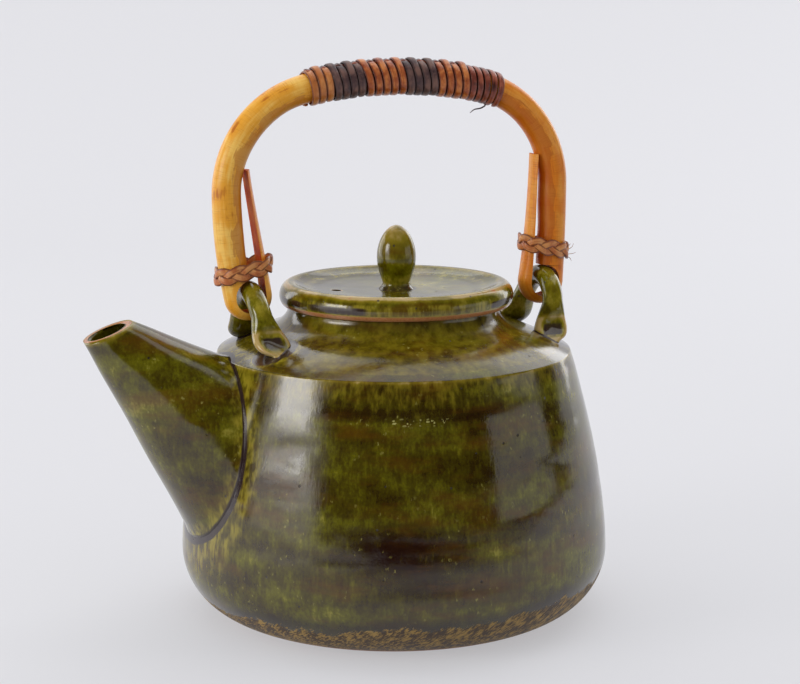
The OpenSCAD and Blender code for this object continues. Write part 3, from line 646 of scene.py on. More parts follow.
red_strand = strand("red_strand", (216, 130, 62), (170, 80, 28), (96, 34, 22), 0.3, Gloss=0.34,
                    Patch=3.0, Worn=0.35)
maroon_strand = strand("maroon_strand", (176, 94, 66), (122, 52, 34), (60, 24, 20), 0.3, Worn=0.4)
print("strands and cane made:", FIBRE.name, len(FIBRE.nodes), "nodes")

# %% [markdown]
# ## The pot
#
# The lathe turns the pot's profile. The strainer is pierced by a second small tree, which puts one
# level rod on each place of a six-sided pattern and cuts them all out at once: on the real pot a
# hollow awl is pushed through the leather-hard wall before the spout is luted on.

# %% The pot, pierced behind the spout
STRAINER_R, PITCH, RINGS = 2.4, 7.6, 2
STRAINER_Z = TIP_Z - 3 - (TIP_X - float(wall_at((EDGE_Z + BELLY_Z) / 2))) * math.tan(RISE)
ROD_LENGTH = 38
LEVEL, UPRIGHT = (0, math.pi / 2, 0), (0, 0, 0)


def piercing_tree():
    g, take = tree_with("Pierced Wall", "GeometryNodeTree", {
        "Geometry": "Geometry", "Places": "Object", "Radius": 0.0024, "Length": 0.04,
        "Direction": LEVEL, "Material": "Material"})
    places = g.add("GeometryNodeObjectInfo", {"Object": take["Places"]}, out="Geometry")
    rod = g.add("GeometryNodeMeshCylinder", {"Vertices": 24, "Radius": take["Radius"],
                                             "Depth": take["Length"]})
    turn = g.add("FunctionNodeEulerToRotation", {0: take["Direction"]})
    rods = g.add("GeometryNodeInstanceOnPoints", {"Points": places, "Instance": rod,
                                                  "Rotation": turn})
    rods = g.add("GeometryNodeRealizeInstances", {0: rods})
    cut = g.add("GeometryNodeMeshBoolean", {"Mesh 1": take["Geometry"], "Mesh 2": rods}, "Mesh",
                operation="DIFFERENCE", solver="EXACT")
    return finish_tree(g, take, cut)


PIERCING = piercing_tree()


def pierced(piece, name, spots, radius, length, direction, material):
    places = loose_points(name + "_places", spots)
    done = grow(name, PIERCING, {"Places": places, "Radius": radius * MM, "Length": length * MM,
                                 "Direction": direction, "Material": material}, base=piece)
    bpy.data.objects.remove(places)
    return done


pattern = [np.zeros(2)] + [k * unit(60 * side) + i * unit(60 * side + 120)
                           for k in range(1, RINGS + 1) for side in range(6) for i in range(k)]
holes = [(-(BELLY_R + NECK_R) / 2 - 4, p[1] * PITCH, STRAINER_Z + p[0] * PITCH) for p in pattern]
pot = thrown("thrown_pot", pot_line, pot_glaze, segments=176, seed=2.0)
pot = pierced(pot, "thrown_pot", holes, STRAINER_R, ROD_LENGTH, LEVEL, pot_glaze)
print("strainer:", len(holes), "holes")

# %% [markdown]
# Glaze pools where the spout and the lugs meet the pot, so the pot needs to know how near each of
# its points lies to those joints. A few array sums do that once, and the result is stored as an
# attribute: one at the joint, nothing a finger's width away.

# %% Where the glaze pools on the pot
# For each lug: how far its arch stands from the pot's axis, how much further in its feet stand, and
# its side of the pot. The feet stand LUG_SPREAD to either side of the middle
SPOUT_LUG, REAR_LUG, LUG_SPREAD = (52.3, 3.6, -1), (56.2, 4.6, 1), 18


def outside_spout(points):
    """Distance of points outside the spout's cone, in millimetres."""
    along = (points - TIP) @ AXIS_IN
    off = np.linalg.norm(points - TIP - along[:, None] * AXIS_IN, axis=1)
    return (off - MOUTH_R - along * math.tan(OUTER)) * math.cos(OUTER)


def pooled(points):
    near_spout = np.where(points[:, 0] < 0, np.abs(outside_spout(points)), 99)
    pool = 0.42 * (1 - smooth_step(1.5, 11, near_spout))
    for x, inset, side in (SPOUT_LUG, REAR_LUG):
        for y in (LUG_SPREAD, -LUG_SPREAD):
            off = np.hypot(points[:, 0] - side * (x - inset), points[:, 1] - y)
            pool = np.maximum(pool, 0.95 - smooth_step(7.2, 9.6, off))
    return np.clip(pool, 0, 1)


spots = points_of(pot)
radius, height = np.hypot(spots[:, 0], spots[:, 1]), spots[:, 2]
pool = pooled(spots)
store(pot, "pool", pool)
# Thin on the edge and streaked below it, even on the shoulder, thin on the neck's lip and inside
off_edge = np.hypot(radius - EDGE_R, height - EDGE_Z + 0.3)
below_edge = (1 - smooth_step(1, 15, EDGE_Z - height)) * (height < EDGE_Z)
thin = 0.34 * (1 - smooth_step(0.0, 1.2, off_edge)) + 0.3 * below_edge
thin = np.maximum(thin, 0.42 * smooth_step(EDGE_Z + 0.5, EDGE_Z + 5, height))
thin = np.maximum(thin, 0.8 * (1 - smooth_step(0.2, 2.0, NECK_TOP_Z - height)))
outside_r = np.where(height > BELLY_Z, wall_at(height), FOOT_R)
store(pot, "thin", np.where(radius < outside_r - 2.5, 0.35, thin))
# In front, facing the camera, a painted dark reflection: a large patch low on the wall and a thin band
# near its top; and a row of marks
front = np.degrees(np.arctan2(spots[:, 0], -spots[:, 1]))
patch = np.hypot((front + 18) / 24, (height - 39) / 10)
band = np.hypot((front + 12) / 42, (height - 82) / 2.6)
thick = np.maximum(1 - smooth_step(0.1, 1.15, patch), 0.6 * (1 - smooth_step(0.4, 1.2, band)))
store(pot, "thick", thick * (radius > NECK_R))
store(pot, "marks", (np.abs(front + 13) < 9) & (np.abs(height - 80.3) < 1.2))
print("pot:", len(spots), "points, pooled share", round(float((pool > 0.5).mean()), 3))

# %% [markdown]
# ## The spout
#
# A straight cone of clay, thrown by itself, cut at a slant and luted over the strainer. Each of its
# long lines runs from the slanted mouth to the place where it meets the wall, and the root flares a
# little, as where a thumb has worked the joint. Mesh code suits it better than a lathe, since both
# of its ends are cut by other surfaces.

# %% The spout, from its slanted mouth to the wall
AROUND_SPOUT, MOUTH_SLANT = 120, math.radians(21.2)
mouth_normal = np.array([-math.sin(MOUTH_SLANT), 0, math.cos(MOUTH_SLANT)])


def along_cone(r, spread, test):
    """For each angle round the axis, the length from the mouth at which the test turns false."""
    turn = np.linspace(0, 2 * math.pi, AROUND_SPOUT, endpoint=False)
    side, up = np.array([0, 1, 0]), np.cross(AXIS_IN, [0, 1, 0])
    out = np.cos(turn)[:, None] * side + np.sin(turn)[:, None] * up

    def at(t):
        return TIP + t[:, None] * AXIS_IN + (r + t * math.tan(spread))[:, None] * out

    low, high = np.full(AROUND_SPOUT, -12.0), np.full(AROUND_SPOUT, 75.0)
    for _ in range(40):
        middle = (low + high) / 2
        hit = test(at(middle))
        low, high = np.where(hit, low, middle), np.where(hit, middle, high)
    return high, out, at


def inside_pot(points, sunk):
    r, z = np.hypot(points[:, 0], points[:, 1]), points[:, 2]
    top = np.where(r < EDGE_R, shoulder_at(r), 999)
    wall = np.where(z <= EDGE_Z, wall_at(z), EDGE_R)
    return (r < wall - sunk) & (z < top - sunk)


def below_mouth(points):
    return (points - TIP) @ mouth_normal < 0


outer_root, out, outer_at = along_cone(MOUTH_R, OUTER, lambda p: inside_pot(p, 0.7))
bore_root, _, bore_at = along_cone(MOUTH_R - LIP_T, BORE, lambda p: inside_pot(p, 0.2))
outer_top = along_cone(MOUTH_R, OUTER, below_mouth)[0]
bore_top = along_cone(MOUTH_R - LIP_T, BORE, below_mouth)[0]
rings, thin, pool = [], [], []
for s in np.linspace(1, 0, 60):
    t = outer_top + (outer_root - outer_top) * s
    back = outer_root - t
    flare = 0.9 * np.clip(1 - back / 4, 0, 1) ** 2
    wave = 0.12 * np.sin(t / 5.2) * smooth_step(0, 8, t) * smooth_step(0, 8, back)
    rings.append(outer_at(t) + (flare + wave)[:, None] * out)
    thin.append(0.7 * (1 - smooth_step(0, 3, t - outer_top)))
    pool.append(np.maximum(1 - smooth_step(0.7, 2.4, back), 0.38 * (1 - smooth_step(1, 8, back))))
lip_a, lip_b = outer_at(outer_top), bore_at(bore_top)
middle, half = (lip_a + lip_b) / 2, (lip_a - lip_b) / 2
for a in np.linspace(0.15, 0.85, 7) * math.pi:
    over = np.linalg.norm(half, axis=1)[:, None] * 0.75 * (math.sin(a) - 0.9)
    rings.append(middle + half * math.cos(a) + mouth_normal * over)
    thin.append(np.full(AROUND_SPOUT, 1.2))
    pool.append(np.zeros(AROUND_SPOUT))
for s in np.linspace(0, 1, 40):
    rings.append(bore_at(bore_top + (bore_root - bore_top) * s))
    thin.append(np.full(AROUND_SPOUT, 0.1))
    pool.append(np.full(AROUND_SPOUT, 0.3 * s))
spout = ring_mesh("luted_spout", rings, {"thin": thin, "pool": pool}, [spout_glaze], endless=True)

# %% [markdown]
# ## The lugs
#
# A short bar of clay bent into an arch. Its two ends are pressed on to the shoulder with a thumb,
# which spreads them and leaves a dimple; glaze runs off their rims and settles in the hollows.

# %% Two arches of clay bar with pressed feet
HINGE_Z, BAR_R, ARCH_R, ARCH_HALF = 101.81, 3.6, 13.5, 66
BAR_Z = HINGE_Z + ARCH_R


def bar_ring(x, inset, foot_z, spot, side, around):
    """One ring of the bar at a spot (y, z, slope), and its thin and pooled glaze. Below the arch the
    bar widens, flattens and is pressed hollow, and it rounds off at its toe."""
    drop = (BAR_Z - spot[1]) / (BAR_Z - foot_z)
    spread = max(0.0, drop - 0.4) / 0.6
    toe = math.sqrt(max(0.02, 1 - (max(0.0, drop - 0.8) / 0.27) ** 2))
    w = (BAR_R + 3.4 * min(1.0, spread)) * (0.25 + 0.75 * toe)
    d = BAR_R * (1 + 0.25 * spread * spread) * (0.4 + 0.6 * toe)
    press = 0.72 * smooth_step(0.25, 0.75, spread) * toe
    sine = np.sin(around)
    facing = np.maximum(0, sine)
    out = d * sine * (1 - press * facing ** 3)
    slope = math.radians(spot[2])
    ahead = 3.2 * max(0.0, drop - 0.62) ** 2 / 0.14
    y, z = spot[0] + ahead + out * math.sin(slope), spot[1] + out * math.cos(slope)
    ring = np.stack([x - inset * drop ** 1.5 + w * np.cos(around), side * y, z], -1)
    hollow = (smooth_step(0.45, 0.7, spread) * smooth_step(0.62, 0.86, facing)
              * (1 - smooth_step(0.95, 1.06, spread)))
    rim = smooth_step(0.3, 0.55, spread) * smooth_step(-0.5, 0.2, sine) * (1 - hollow)
    return ring, np.maximum(0.98 * rim, 0.45 * (1 - spread) * facing), hollow


def pressed_lug(name, x, inset, side):
    around = np.linspace(0, 2 * math.pi, 40, endpoint=False)
    foot_z = shoulder_at(math.hypot(x - inset, 17))
    end = np.array([0, HINGE_Z]) + ARCH_R * unit(ARCH_HALF)[::-1]
    foot = np.array([17, foot_z - 3.4])
    slope = math.degrees(math.atan2(end[1] - foot[1], foot[0] - end[0]))
    spots = [[ARCH_R * unit(a)[1], HINGE_Z + ARCH_R * unit(a)[0], a]
             for a in np.linspace(0, ARCH_HALF, 16)]
    spots += [[*(end + (foot - end) * s), slope] for s in np.linspace(0, 1, 26)[1:]]
    made = [bar_ring(x, inset, foot_z, p, -1, around) for p in spots[:0:-1]]
    made += [bar_ring(x, inset, foot_z, p, 1, around) for p in spots]
    rings, rims, hollows = (np.array(part) for part in zip(*made))
    off_axis = np.clip(np.hypot(rings[..., 0], rings[..., 1]), NECK_R, EDGE_R)
    above = rings[..., 2] - shoulder_at(off_axis)
    pool = np.maximum(0.95 * (1 - smooth_step(0.1, 1.0, above)), 0.85 * hollows)
    rings[..., 0] *= side
    return ring_mesh(name, rings, {"thin": rims, "pool": pool}, [lug_glaze])


spout_side_lug = pressed_lug("pressed_lug_spout_side", *SPOUT_LUG)
rear_lug = pressed_lug("pressed_lug_rear", *REAR_LUG)

# %% [markdown]
# ## Lid and knob
#
# Both come off the same lathe as the pot. The lid is dished, with a raised rim, a flange that keeps
# it in the neck, bare clay under its edge where it was stood on, and one steam hole beside the knob.

# %% The lid with its steam hole
LID_X, LID_Z = 0.9, 108.2
LID_R, LID_FOOT, RIM_R, LID_H, LID_EDGE_Z, DISH_Z, PLATE_Z = 40.8, 38.8, 37, 8.1, 3.3, 5.1, 1.9
FLANGE_R, FLANGE_BORE, FLANGE_Z = 32.8, 30.6, -8
VENT_R, VENT_AT = 1.7, unit(174) * 21.4
quarter = math.pi / 2
lid_line = [[0, PLATE_Z, 0.2, 0.3], [FLANGE_BORE, PLATE_Z, 0.2, 0.5],
            [FLANGE_BORE, FLANGE_Z, 0, 0.8], [FLANGE_R, FLANGE_Z, 0, 0.8], [FLANGE_R, 0, 0, 0.9]]
lid_line += [[LID_FOOT + (LID_R - LID_FOOT) * math.sin(a), LID_EDGE_Z * (1 - math.cos(a)), 0,
              1.25 * (a < 1.1)] for a in np.linspace(0, quarter, 10)]
lid_line += [[RIM_R + (LID_R - RIM_R) * math.cos(a),
              LID_EDGE_Z + (LID_H - LID_EDGE_Z) * math.sin(a), 0,
              math.exp(-((a - 1.15) / 0.45) ** 2)] for a in np.linspace(0, quarter, 20)[1:]]
lid_line += [[35.9, LID_H - 0.1, 0, 0.7], [34.6, 7.3, 0, 0.3], [32, 6.4, 0.3, 0],
             [27.5, 5.6, 0.5, 0], [20, 5.25, 0.5, 0], [0, DISH_Z, 0.5, 0]]
lid_line = filled_in(softened(lid_line, 0.7), 1.3)
lid = thrown("thrown_lid", lid_line, lid_glaze, (LID_X, 0, LID_Z), segments=160, depth=0.1,
             height=5, seed=5.0)
vent = (LID_X + VENT_AT[0], VENT_AT[1], LID_Z + DISH_Z - 1)
lid = pierced(lid, "thrown_lid", [vent], VENT_R, 9, UPRIGHT, lid_glaze)

# The glaze pools round the knob and in the dish, and unevenly in the waist of the lid's side
x, y, z = points_of(lid).T
r, turn = np.hypot(x - LID_X, y), np.arctan2(y, x - LID_X)
in_dish = np.maximum(0.9 * (1 - smooth_step(6.6, 10, r)),
                     0.3 * (1 - smooth_step(0.4, 3.0, np.abs(r - 30.9))))
uneven = 0.5 * np.sin(3 * turn + math.pi) + 0.3 * np.sin(8 * turn + 2) + 0.2 * np.sin(19 * turn)
on_side = smooth_step(1.1, 2.4, z - LID_Z) * (1 - smooth_step(4, 6.4, z - LID_Z))
pool = np.where(z > LID_Z + DISH_Z - 0.8, in_dish, 0.0)
store(lid, "pool", np.where((r > 36) & (z < LID_Z + 6.5),
                            0.86 * on_side * np.clip(0.86 + 0.5 * uneven, 0, 1), pool))
# It is thin on the rim, more in one place than in another, and the steam hole is bare
uneven = 0.5 * np.sin(5 * turn) + 0.4 * np.sin(13 * np.arctan2(y, x))
thin = np.empty(len(r), np.float32)
lid.data.attributes["thin"].data.foreach_get("value", thin)
thin = np.where((r > 33) & (z > LID_Z + 4.5), np.minimum(thin * (0.9 + 0.3 * uneven), 0.98), thin)
at_vent = np.hypot(x - vent[0], y - vent[1]) < VENT_R + 0.4
store(lid, "thin", np.where(at_vent, 1.3, thin))

# %% The knob
KNOB_Z = LID_Z + DISH_Z
KNOB_H, KNOB_R, KNOB_FOOT, KNOB_WAIST, KNOB_LOW, KNOB_MID = 22.4, 6.8, 5.2, 4.7, 2.2, 11.2
knob_line = [[0, -0.6, 0, 0], [KNOB_FOOT + 1.1, -0.6, 0, 0], [KNOB_FOOT + 0.9, 0.2, 0, 0],
             [KNOB_FOOT, 1.1, 0, 0]]
knob_line += [[KNOB_WAIST + (KNOB_R - KNOB_WAIST) * math.sin(a),
               KNOB_LOW + (KNOB_MID - KNOB_LOW) * a / quarter, 0.4, 0]
              for a in np.linspace(0, quarter, 24)[:-1]]
knob_line += [[KNOB_R * max(0.0, math.cos(a)) ** 1.12,
               KNOB_MID + (KNOB_H - KNOB_MID) * math.sin(a), 0.4, 0.4 + 0.5 * math.sin(a) ** 2]
              for a in np.linspace(0, quarter, 28)]
knob = thrown("egg_knob", knob_line, lid_glaze, (LID_X, 0, KNOB_Z), segments=72, depth=0.08,
              height=4, seed=7.0)
store(knob, "pool", 0.8 * (1 - smooth_step(1.0, 6.5, points_of(knob)[:, 2] - KNOB_Z)))

# %% [markdown]
# ## The cane bow
#
# One length of cane is heated, bent to a bow, and its two ends are shaved thin, bent back through
# the lugs and tied down. It is drawn as one sweep from one cut end to the other: the section is
# always what a knife leaves of a round cane of that thickness, with the bark on its outside.

# %% The line of the cane, from end to end
CANE_R, HALF_W, CORNER_R, TOP_ARC_R = 5.0, 59.8, 36.0, 157.0
HOOK_R, HOOK_T, HOOK_OUTER, SLACK, TURN_PAST = 5.3, 3.0, 8.3, 0.6, 9.0
# How thick the cut tip is, and round cane, which is drawn a hair thinner than it is wide
TIP_T, ROUND = 1.6, 9.97
CORNER_X = HALF_W - CORNER_R
TOP_CENTRE_Z = HINGE_Z + 84.7 - TOP_ARC_R
SPRING_Z = TOP_CENTRE_Z + math.sqrt((TOP_ARC_R - CORNER_R) ** 2 - CORNER_X ** 2)
TOP_ANGLE = math.asin(CORNER_X / (TOP_ARC_R - CORNER_R))
CUT_Z = HINGE_Z + 19.6


class Hook:
    """The shaved end of the cane on one side: its sizes, and the bark's line down to its cut tip."""

    def __init__(self, lug_x, inset, shift, tongue_top, lean):
        off = max(abs(shift), abs(shift + 0.1 * inset))
        self.x = lug_x + shift
        self.low = BAR_Z - math.sqrt((HOOK_R - BAR_R - 0.3) ** 2 - off * off) - SLACK
        k, h, m = HALF_W - self.x, SPRING_Z - self.low, CANE_R - HOOK_OUTER
        self.r = (k * k + h * h - m * m) / (2 * (m + k))
        self.meet = math.asin(h / (self.r - HOOK_OUTER + CANE_R))
        self.cut = math.asin((SPRING_Z - CUT_Z) / self.r)
        turn = math.radians(TURN_PAST)
        inner_end = np.array([-math.cos(turn), math.sin(turn)])
        start = np.array([self.x, self.low]) + HOOK_OUTER * inner_end
        top = HINGE_Z + tongue_top
        tip = np.array([self.inner_side(top) - 0.1 - TIP_T, top])
        third = (top - start[1]) / 3
        self.line = [start, start + third * np.array([math.tan(turn), 1]),
                     tip - third * np.array([lean, 1]), tip]

    def inner_side(self, z):
        if z > SPRING_Z:
            return CORNER_X + math.sqrt((CORNER_R - CANE_R) ** 2 - (z - SPRING_Z) ** 2)
        return HALF_W - self.r + math.sqrt((self.r - CANE_R) ** 2 - (z - SPRING_Z) ** 2)

    def middle_at(self, z):
        return HALF_W - self.r + math.sqrt(self.r ** 2 - (z - SPRING_Z) ** 2)

    def tongue(self, s):
        a, b, c, d = self.line
        return (1 - s) ** 3 * a + 3 * s * (1 - s) ** 2 * b + 3 * s * s * (1 - s) * c + s ** 3 * d

    def left_by(self, p, inward, centre):
        w = p - centre
        b = w @ inward
        under = b * b - w @ w + HOOK_R ** 2
        return 9.8 if under < 0 else min(9.8, -b - math.sqrt(under))

    def spots(self):
        """[x, z, outward angle, thickness, share of tongue] from the bow's end to the tip."""
        made, low = [], np.array([self.x, self.low])
        centre = np.array([HALF_W - self.r, SPRING_Z])
        for a in np.linspace(self.cut, self.meet, 42)[:-1]:
            out = np.array([math.cos(a), -math.sin(a)])
            p = centre + (self.r + CANE_R) * out
            t = min(self.left_by(p, -out, low), self.left_by(p, -out, low + [0, SLACK]))
            made.append([*p, -a, t, 0.0])
        for a in np.linspace(self.meet, math.pi + math.radians(TURN_PAST), 34):
            made.append([self.x + HOOK_OUTER * math.cos(a), self.low - HOOK_OUTER * math.sin(a), -a,
                         HOOK_T, 0.5 * smooth_step(self.meet, math.pi, a)])
        for s in np.linspace(0, 1, 50)[1:]:
            p, q = self.tongue(s), self.tongue(s - 0.01)
            out = math.pi - math.atan2(p[0] - q[0], p[1] - q[1])
            t = TIP_T + (HOOK_T - TIP_T) * (1 - s) ** 2
            made.append([*p, out - 2 * math.pi, t, 0.5 + 0.5 * s])
        return made

    def side(self):
        """Middle of the bow, from its end up to the start of the flat top."""
        a = [[HALF_W - self.r + self.r * math.cos(t), SPRING_Z + self.r * math.sin(t), t]
             for t in np.linspace(-self.cut, 0, 46)]
        b = [[CORNER_X + CORNER_R * math.cos(t), SPRING_Z + CORNER_R * math.sin(t), t]
             for t in np.linspace(0, math.pi / 2 - TOP_ANGLE, 46)[1:]]
        return a + b


spout_hook = Hook(*SPOUT_LUG[:2], 0.5, 55, 0.13)
rear_hook = Hook(*REAR_LUG[:2], -0.6, 57, 0.03)
top = [[TOP_ARC_R * math.cos(t), TOP_CENTRE_Z + TOP_ARC_R * math.sin(t), t]
       for t in np.linspace(math.pi / 2 - TOP_ANGLE, math.pi / 2 + TOP_ANGLE, 52)[1:-1]]
bow = rear_hook.side() + top + [[-x, z, math.pi - a] for x, z, a in spout_hook.side()[::-1]]
line = [list(p) for p in rear_hook.spots()[:0:-1]]
line += [[x + CANE_R * math.cos(a), z + CANE_R * math.sin(a), a, ROUND, 0.0] for x, z, a in bow]
line += [[-x, z, math.pi - a, t, -share] for x, z, a, t, share in spout_hook.spots()[1:]]
line = np.array(line)
lengths = np.concatenate([[0], np.cumsum(np.linalg.norm(np.diff(line[:, :2], axis=0), axis=1))])
print("cane line:", len(line), "rings,", round(lengths[-1]), "mm of cane")

# %% The cane itself
AROUND = 36
rng = np.random.default_rng(11)
knots = np.interp(lengths, np.linspace(0, lengths[-1], 40), rng.normal(0, 1, 40))
rings, around_mm = [], []
above_cut = smooth_step(CUT_Z + 4, CUT_Z + 14, line[:, 1]) * (line[:, 3] > ROUND - 0.07)
for (x, z, a, t, _), wobble, free in zip(line, knots, above_cut):
    half = math.acos((CANE_R - t) / CANE_R)
    turn = np.linspace(-half, half, AROUND)
    scale = 1 + 0.012 * wobble * free
    out, side = CANE_R * (np.cos(turn) - 1) * scale, CANE_R * np.sin(turn) * scale
    rings.append(np.stack([x + out * math.cos(a), side, z + out * math.sin(a)], -1))
    around_mm.append(turn * CANE_R)
n = len(line)
# Painted shade: the cane is painted almost black where the wound grip covers it, so it shows dark
# between the turns
on_grip = (np.abs(line[:, 0]) < 36) & (line[:, 1] > SPRING_Z)
covered = on_grip * smooth_step(-30.5, -29, line[:, 0]) * smooth_step(34.5, 33, line[:, 0])
on_tongue = 1.3 * np.maximum(0, -line[:, 4]) - 0.3
aged = np.clip(np.maximum(0.8 * smooth_step(-10, 45, line[:, 0]), on_tongue), 0, 1)
cane = ring_mesh("bent_cane", rings, {
    "along": np.repeat(lengths, AROUND), "across": around_mm, "aged": np.repeat(aged, AROUND),
    "shade": np.repeat(covered, AROUND)}, [cane_bark, cut_cane])
flat_side = np.zeros(len(cane.data.polygons), np.int32)
shaved = (line[:-1, 3] < ROUND - 0.47) | (line[1:, 3] < ROUND - 0.47)
flat_side[:(n - 1) * AROUND].reshape(n - 1, AROUND)[shaved, AROUND - 1] = 1
flat_side[(n - 1) * AROUND:] = 1
cane.data.polygons.foreach_set("material_index", flat_side)
cane.data.set_sharp_from_angle(angle=math.radians(38))
print("shaved faces:", int(flat_side.sum()))

# %% [markdown]
# ## The plaited bindings
#
# Three flat strands are plaited round the cane and the tongue of the hook and pulled tight. Each
# strand sways up and down as it goes round and passes over and under the two others, a third of a
# wave behind its neighbour. A rule like that is what Geometry Nodes are for: the tree draws a strand
# on any closed line, and a change of waves or width redraws the plait.

# %% A strand that follows a line
AROUND_STRAND, PLAIT_LENGTH = 14, 60.0    # points round a strand, and its length once round in mm


def section_point(g, share, w, t):
    """Point of a flat, round-edged section: its offsets across the strand and outwards."""
    angle = share * (2 * math.pi)

    def rounded(value, power):
        return g.math("SIGN", value) * g.math("POWER", abs(value), power)

    return rounded(angle.cos(), 0.75) * (w * 0.5), rounded(angle.sin(), 0.9) * (t * 0.5)


def on_curve(g, curve, mode, at):
    """Position and direction on a curve, at a share of its length (FACTOR) or at a LENGTH."""
    curve = g.add("GeometryNodeObjectInfo", {"Object": curve}, out="Geometry")
    node = g.node("GeometryNodeSampleCurve", {"Curves": curve, mode.capitalize(): at}, mode=mode,
                  use_all_curves=False)
    return Value(g, node.outputs["Position"]), Value(g, node.outputs["Tangent"])


def plait_tree():
    g, take = tree_with("Plaited Strand", "GeometryNodeTree", {
        "Geometry": "Geometry", "Line": "Object", "Steps": 500, "Waves": 4, "Strand": 0.0,
        "Sway": 0.0016, "Lift": 0.00025, "Width": 0.003, "Thickness": 0.00084, "Axis": (0, 0, 1),
        "Material": "Material"})
    axis, number = take["Axis"], take["Strand"]
    grid, along, around = unit_grid(g, take["Steps"], AROUND_STRAND + 1)
    spot, forward = on_curve(g, take["Line"], "FACTOR", along)
    outward = g.vector("NORMALIZE", g.vector("CROSS_PRODUCT", forward, axis))
    angle = along * (take["Waves"] * (2 * math.pi)) + number * (2 * math.pi / 3)
    up = angle.sin() * take["Sway"]
    lift = (angle * 2).sin() * take["Lift"]
    u, v = section_point(g, around, take["Width"], take["Thickness"])
    u = u * (g.noise(g.join(along * 40, number, 4.0), 1.0) * 0.3 + 0.85)
    where = spot + axis * (up + u) + outward * (lift + v)
    fibres = (along + number) * PLAIT_LENGTH
    return bent_grid(g, take, grid, where, 2e-6, along=fibres, across=u * 1000)


PLAIT = plait_tree()


def curve_object(name, points, cyclic=False):
    curve = bpy.data.curves.new(name, "CURVE")
    curve.dimensions = "3D"
    spline = curve.splines.new("POLY")
    spline.points.add(len(points) - 1)
    places = np.hstack([np.asarray(points) * MM, np.ones((len(points), 1))])
    spline.points.foreach_set("co", places.ravel())
    spline.use_cyclic_u = cyclic
    return placed(name, curve)


def joined(name, pieces):
    """One piece out of several, with their attributes and materials."""
    bpy.ops.object.select_all(action="DESELECT")
    for piece in pieces:
        piece.select_set(True)
    bpy.context.view_layer.objects.active = pieces[0]
    bpy.ops.object.join()
    pieces[0].name = pieces[0].data.name = name
    return pieces[0]


def binding(name, hook, z, side):
    """The plait round the cane and one hook's tongue. It lies on a slope, lower outside."""
    slope, sway, half_w, half_t, weave = math.tan(math.radians(12)), 1.7, 1.45, 0.36, 1.1
    cane_x = hook.middle_at(z)
    low, top = hook.line[0][1], hook.line[3][1]
    share = (z + CANE_R * slope - sway - half_w - low) / (top - low)
    half = (cane_x - hook.tongue(share)[0] - CANE_R) / 2
    r = CANE_R + STRAND_GAP + (1.1 + weave) * half_t
    ends = [(half + r * math.cos(a), r * math.sin(a)) for a in np.linspace(-quarter, quarter, 60)]
    oval = ends + [(-x, -y) for x, y in ends]
    points = [(side * (cane_x - half + x), y, z - x * slope) for x, y in oval]
    line = curve_object(name + "_line", points[::side], cyclic=True)
    strands = [grow(f"{name}_{k}", PLAIT, {
        "Line": line, "Strand": float(k), "Axis": (0.0, 0.0, 1.0), "Sway": sway * MM,
        "Lift": half_t * weave * MM, "Width": 2 * half_w * MM, "Thickness": 2 * half_t * MM,
        "Waves": 3, "Steps": 320, "Material": plaited}) for k in range(3)]
    bpy.data.objects.remove(line)
    return face_outwards(joined(name, strands))


STRAND_GAP, SPOUT_BINDING_Z, REAR_BINDING_Z = 0.1, HINGE_Z + 21, HINGE_Z + 24
spout_side_plait = binding("plait_spout_side", spout_hook, SPOUT_BINDING_Z, -1)
rear_plait = binding("plait_rear", rear_hook, REAR_BINDING_Z, 1)

# %% [markdown]
# ## The wound grip
#
# The grip is split cane wound tightly round the bow, over one strip that lies lengthwise on top and
# locks the turns. The winding changes colour where a new strand starts. The tree winds any number of
# turns on a line, with a little unevenness from turn to turn, as hands leave it.

# %% A strand wound round a line
WOUND_R = 5.6    # middle of the strand, for the length of its fibres


def winding_tree():
    g, take = tree_with("Wound Strand", "GeometryNodeTree", {
        "Geometry": "Geometry", "Line": "Object", "Steps": 400, "Start": 0.0, "Turns": 4.0,
        "Pitch": 0.00295, "Width": 0.0026, "Thickness": 0.0009, "Radius": 0.0052, "Ridge": 0.0005,
        "Uneven": 0.00012, "Lean": 0.0007, "Over": 0.0, "Seed": 0.0, "Material": "Material"})
    grid, along, around = unit_grid(g, take["Steps"], AROUND_STRAND + 1)
    turned = along * take["Turns"]
    angle = math.pi - turned * (2 * math.pi)
    uneven = g.noise(g.join(turned * 1.7, take["Seed"], 0.0), 1.0)
    uneven = (uneven - 0.5) * take["Uneven"]
    u, v = section_point(g, around, take["Width"], take["Thickness"])
    # Each end is drawn out thin, and the width varies by up to a twentieth
    left = g.math("MINIMUM", along, 1.0 - along)
    end = g.math("SQRT", g.math("MINIMUM", left * take["Turns"] * 14.0, 1.0))
    u, v = u * end * (uneven * 900.0 + 1.0), v * end
    length = take["Start"] + turned * take["Pitch"] + (uneven * 1.5 - angle.cos() * take["Lean"])
    spot, forward = on_curve(g, take["Line"], "LENGTH", length + u)
    forward = g.vector("NORMALIZE", forward)
    above = g.join(forward.z * -1, 0.0, forward.x)
    outward = above * angle.cos() + g.join(0.0, angle.sin(), 0.0)
    # Every second turn rides over the lengthwise strip
    second = ((turned + take["Over"]) * math.pi).cos()
    ridge = g.math("POWER", g.math("MAXIMUM", angle.cos(), 0.0), 8.0)
    ridge = ridge * g.math("MAXIMUM", second, 0.0)
    lift = take["Radius"] + ridge * take["Ridge"] + (uneven + take["Thickness"] * 0.5)
    where = spot + outward * (lift + v)
    fibres = turned * (2 * math.pi * WOUND_R)
    return bent_grid(g, take, grid, where, 2e-6, along=fibres, across=u * 1000)


WINDING = winding_tree()
TOP_HALF = TOP_ARC_R * TOP_ANGLE
REACH, GRIP_START = 62.0, 33.6


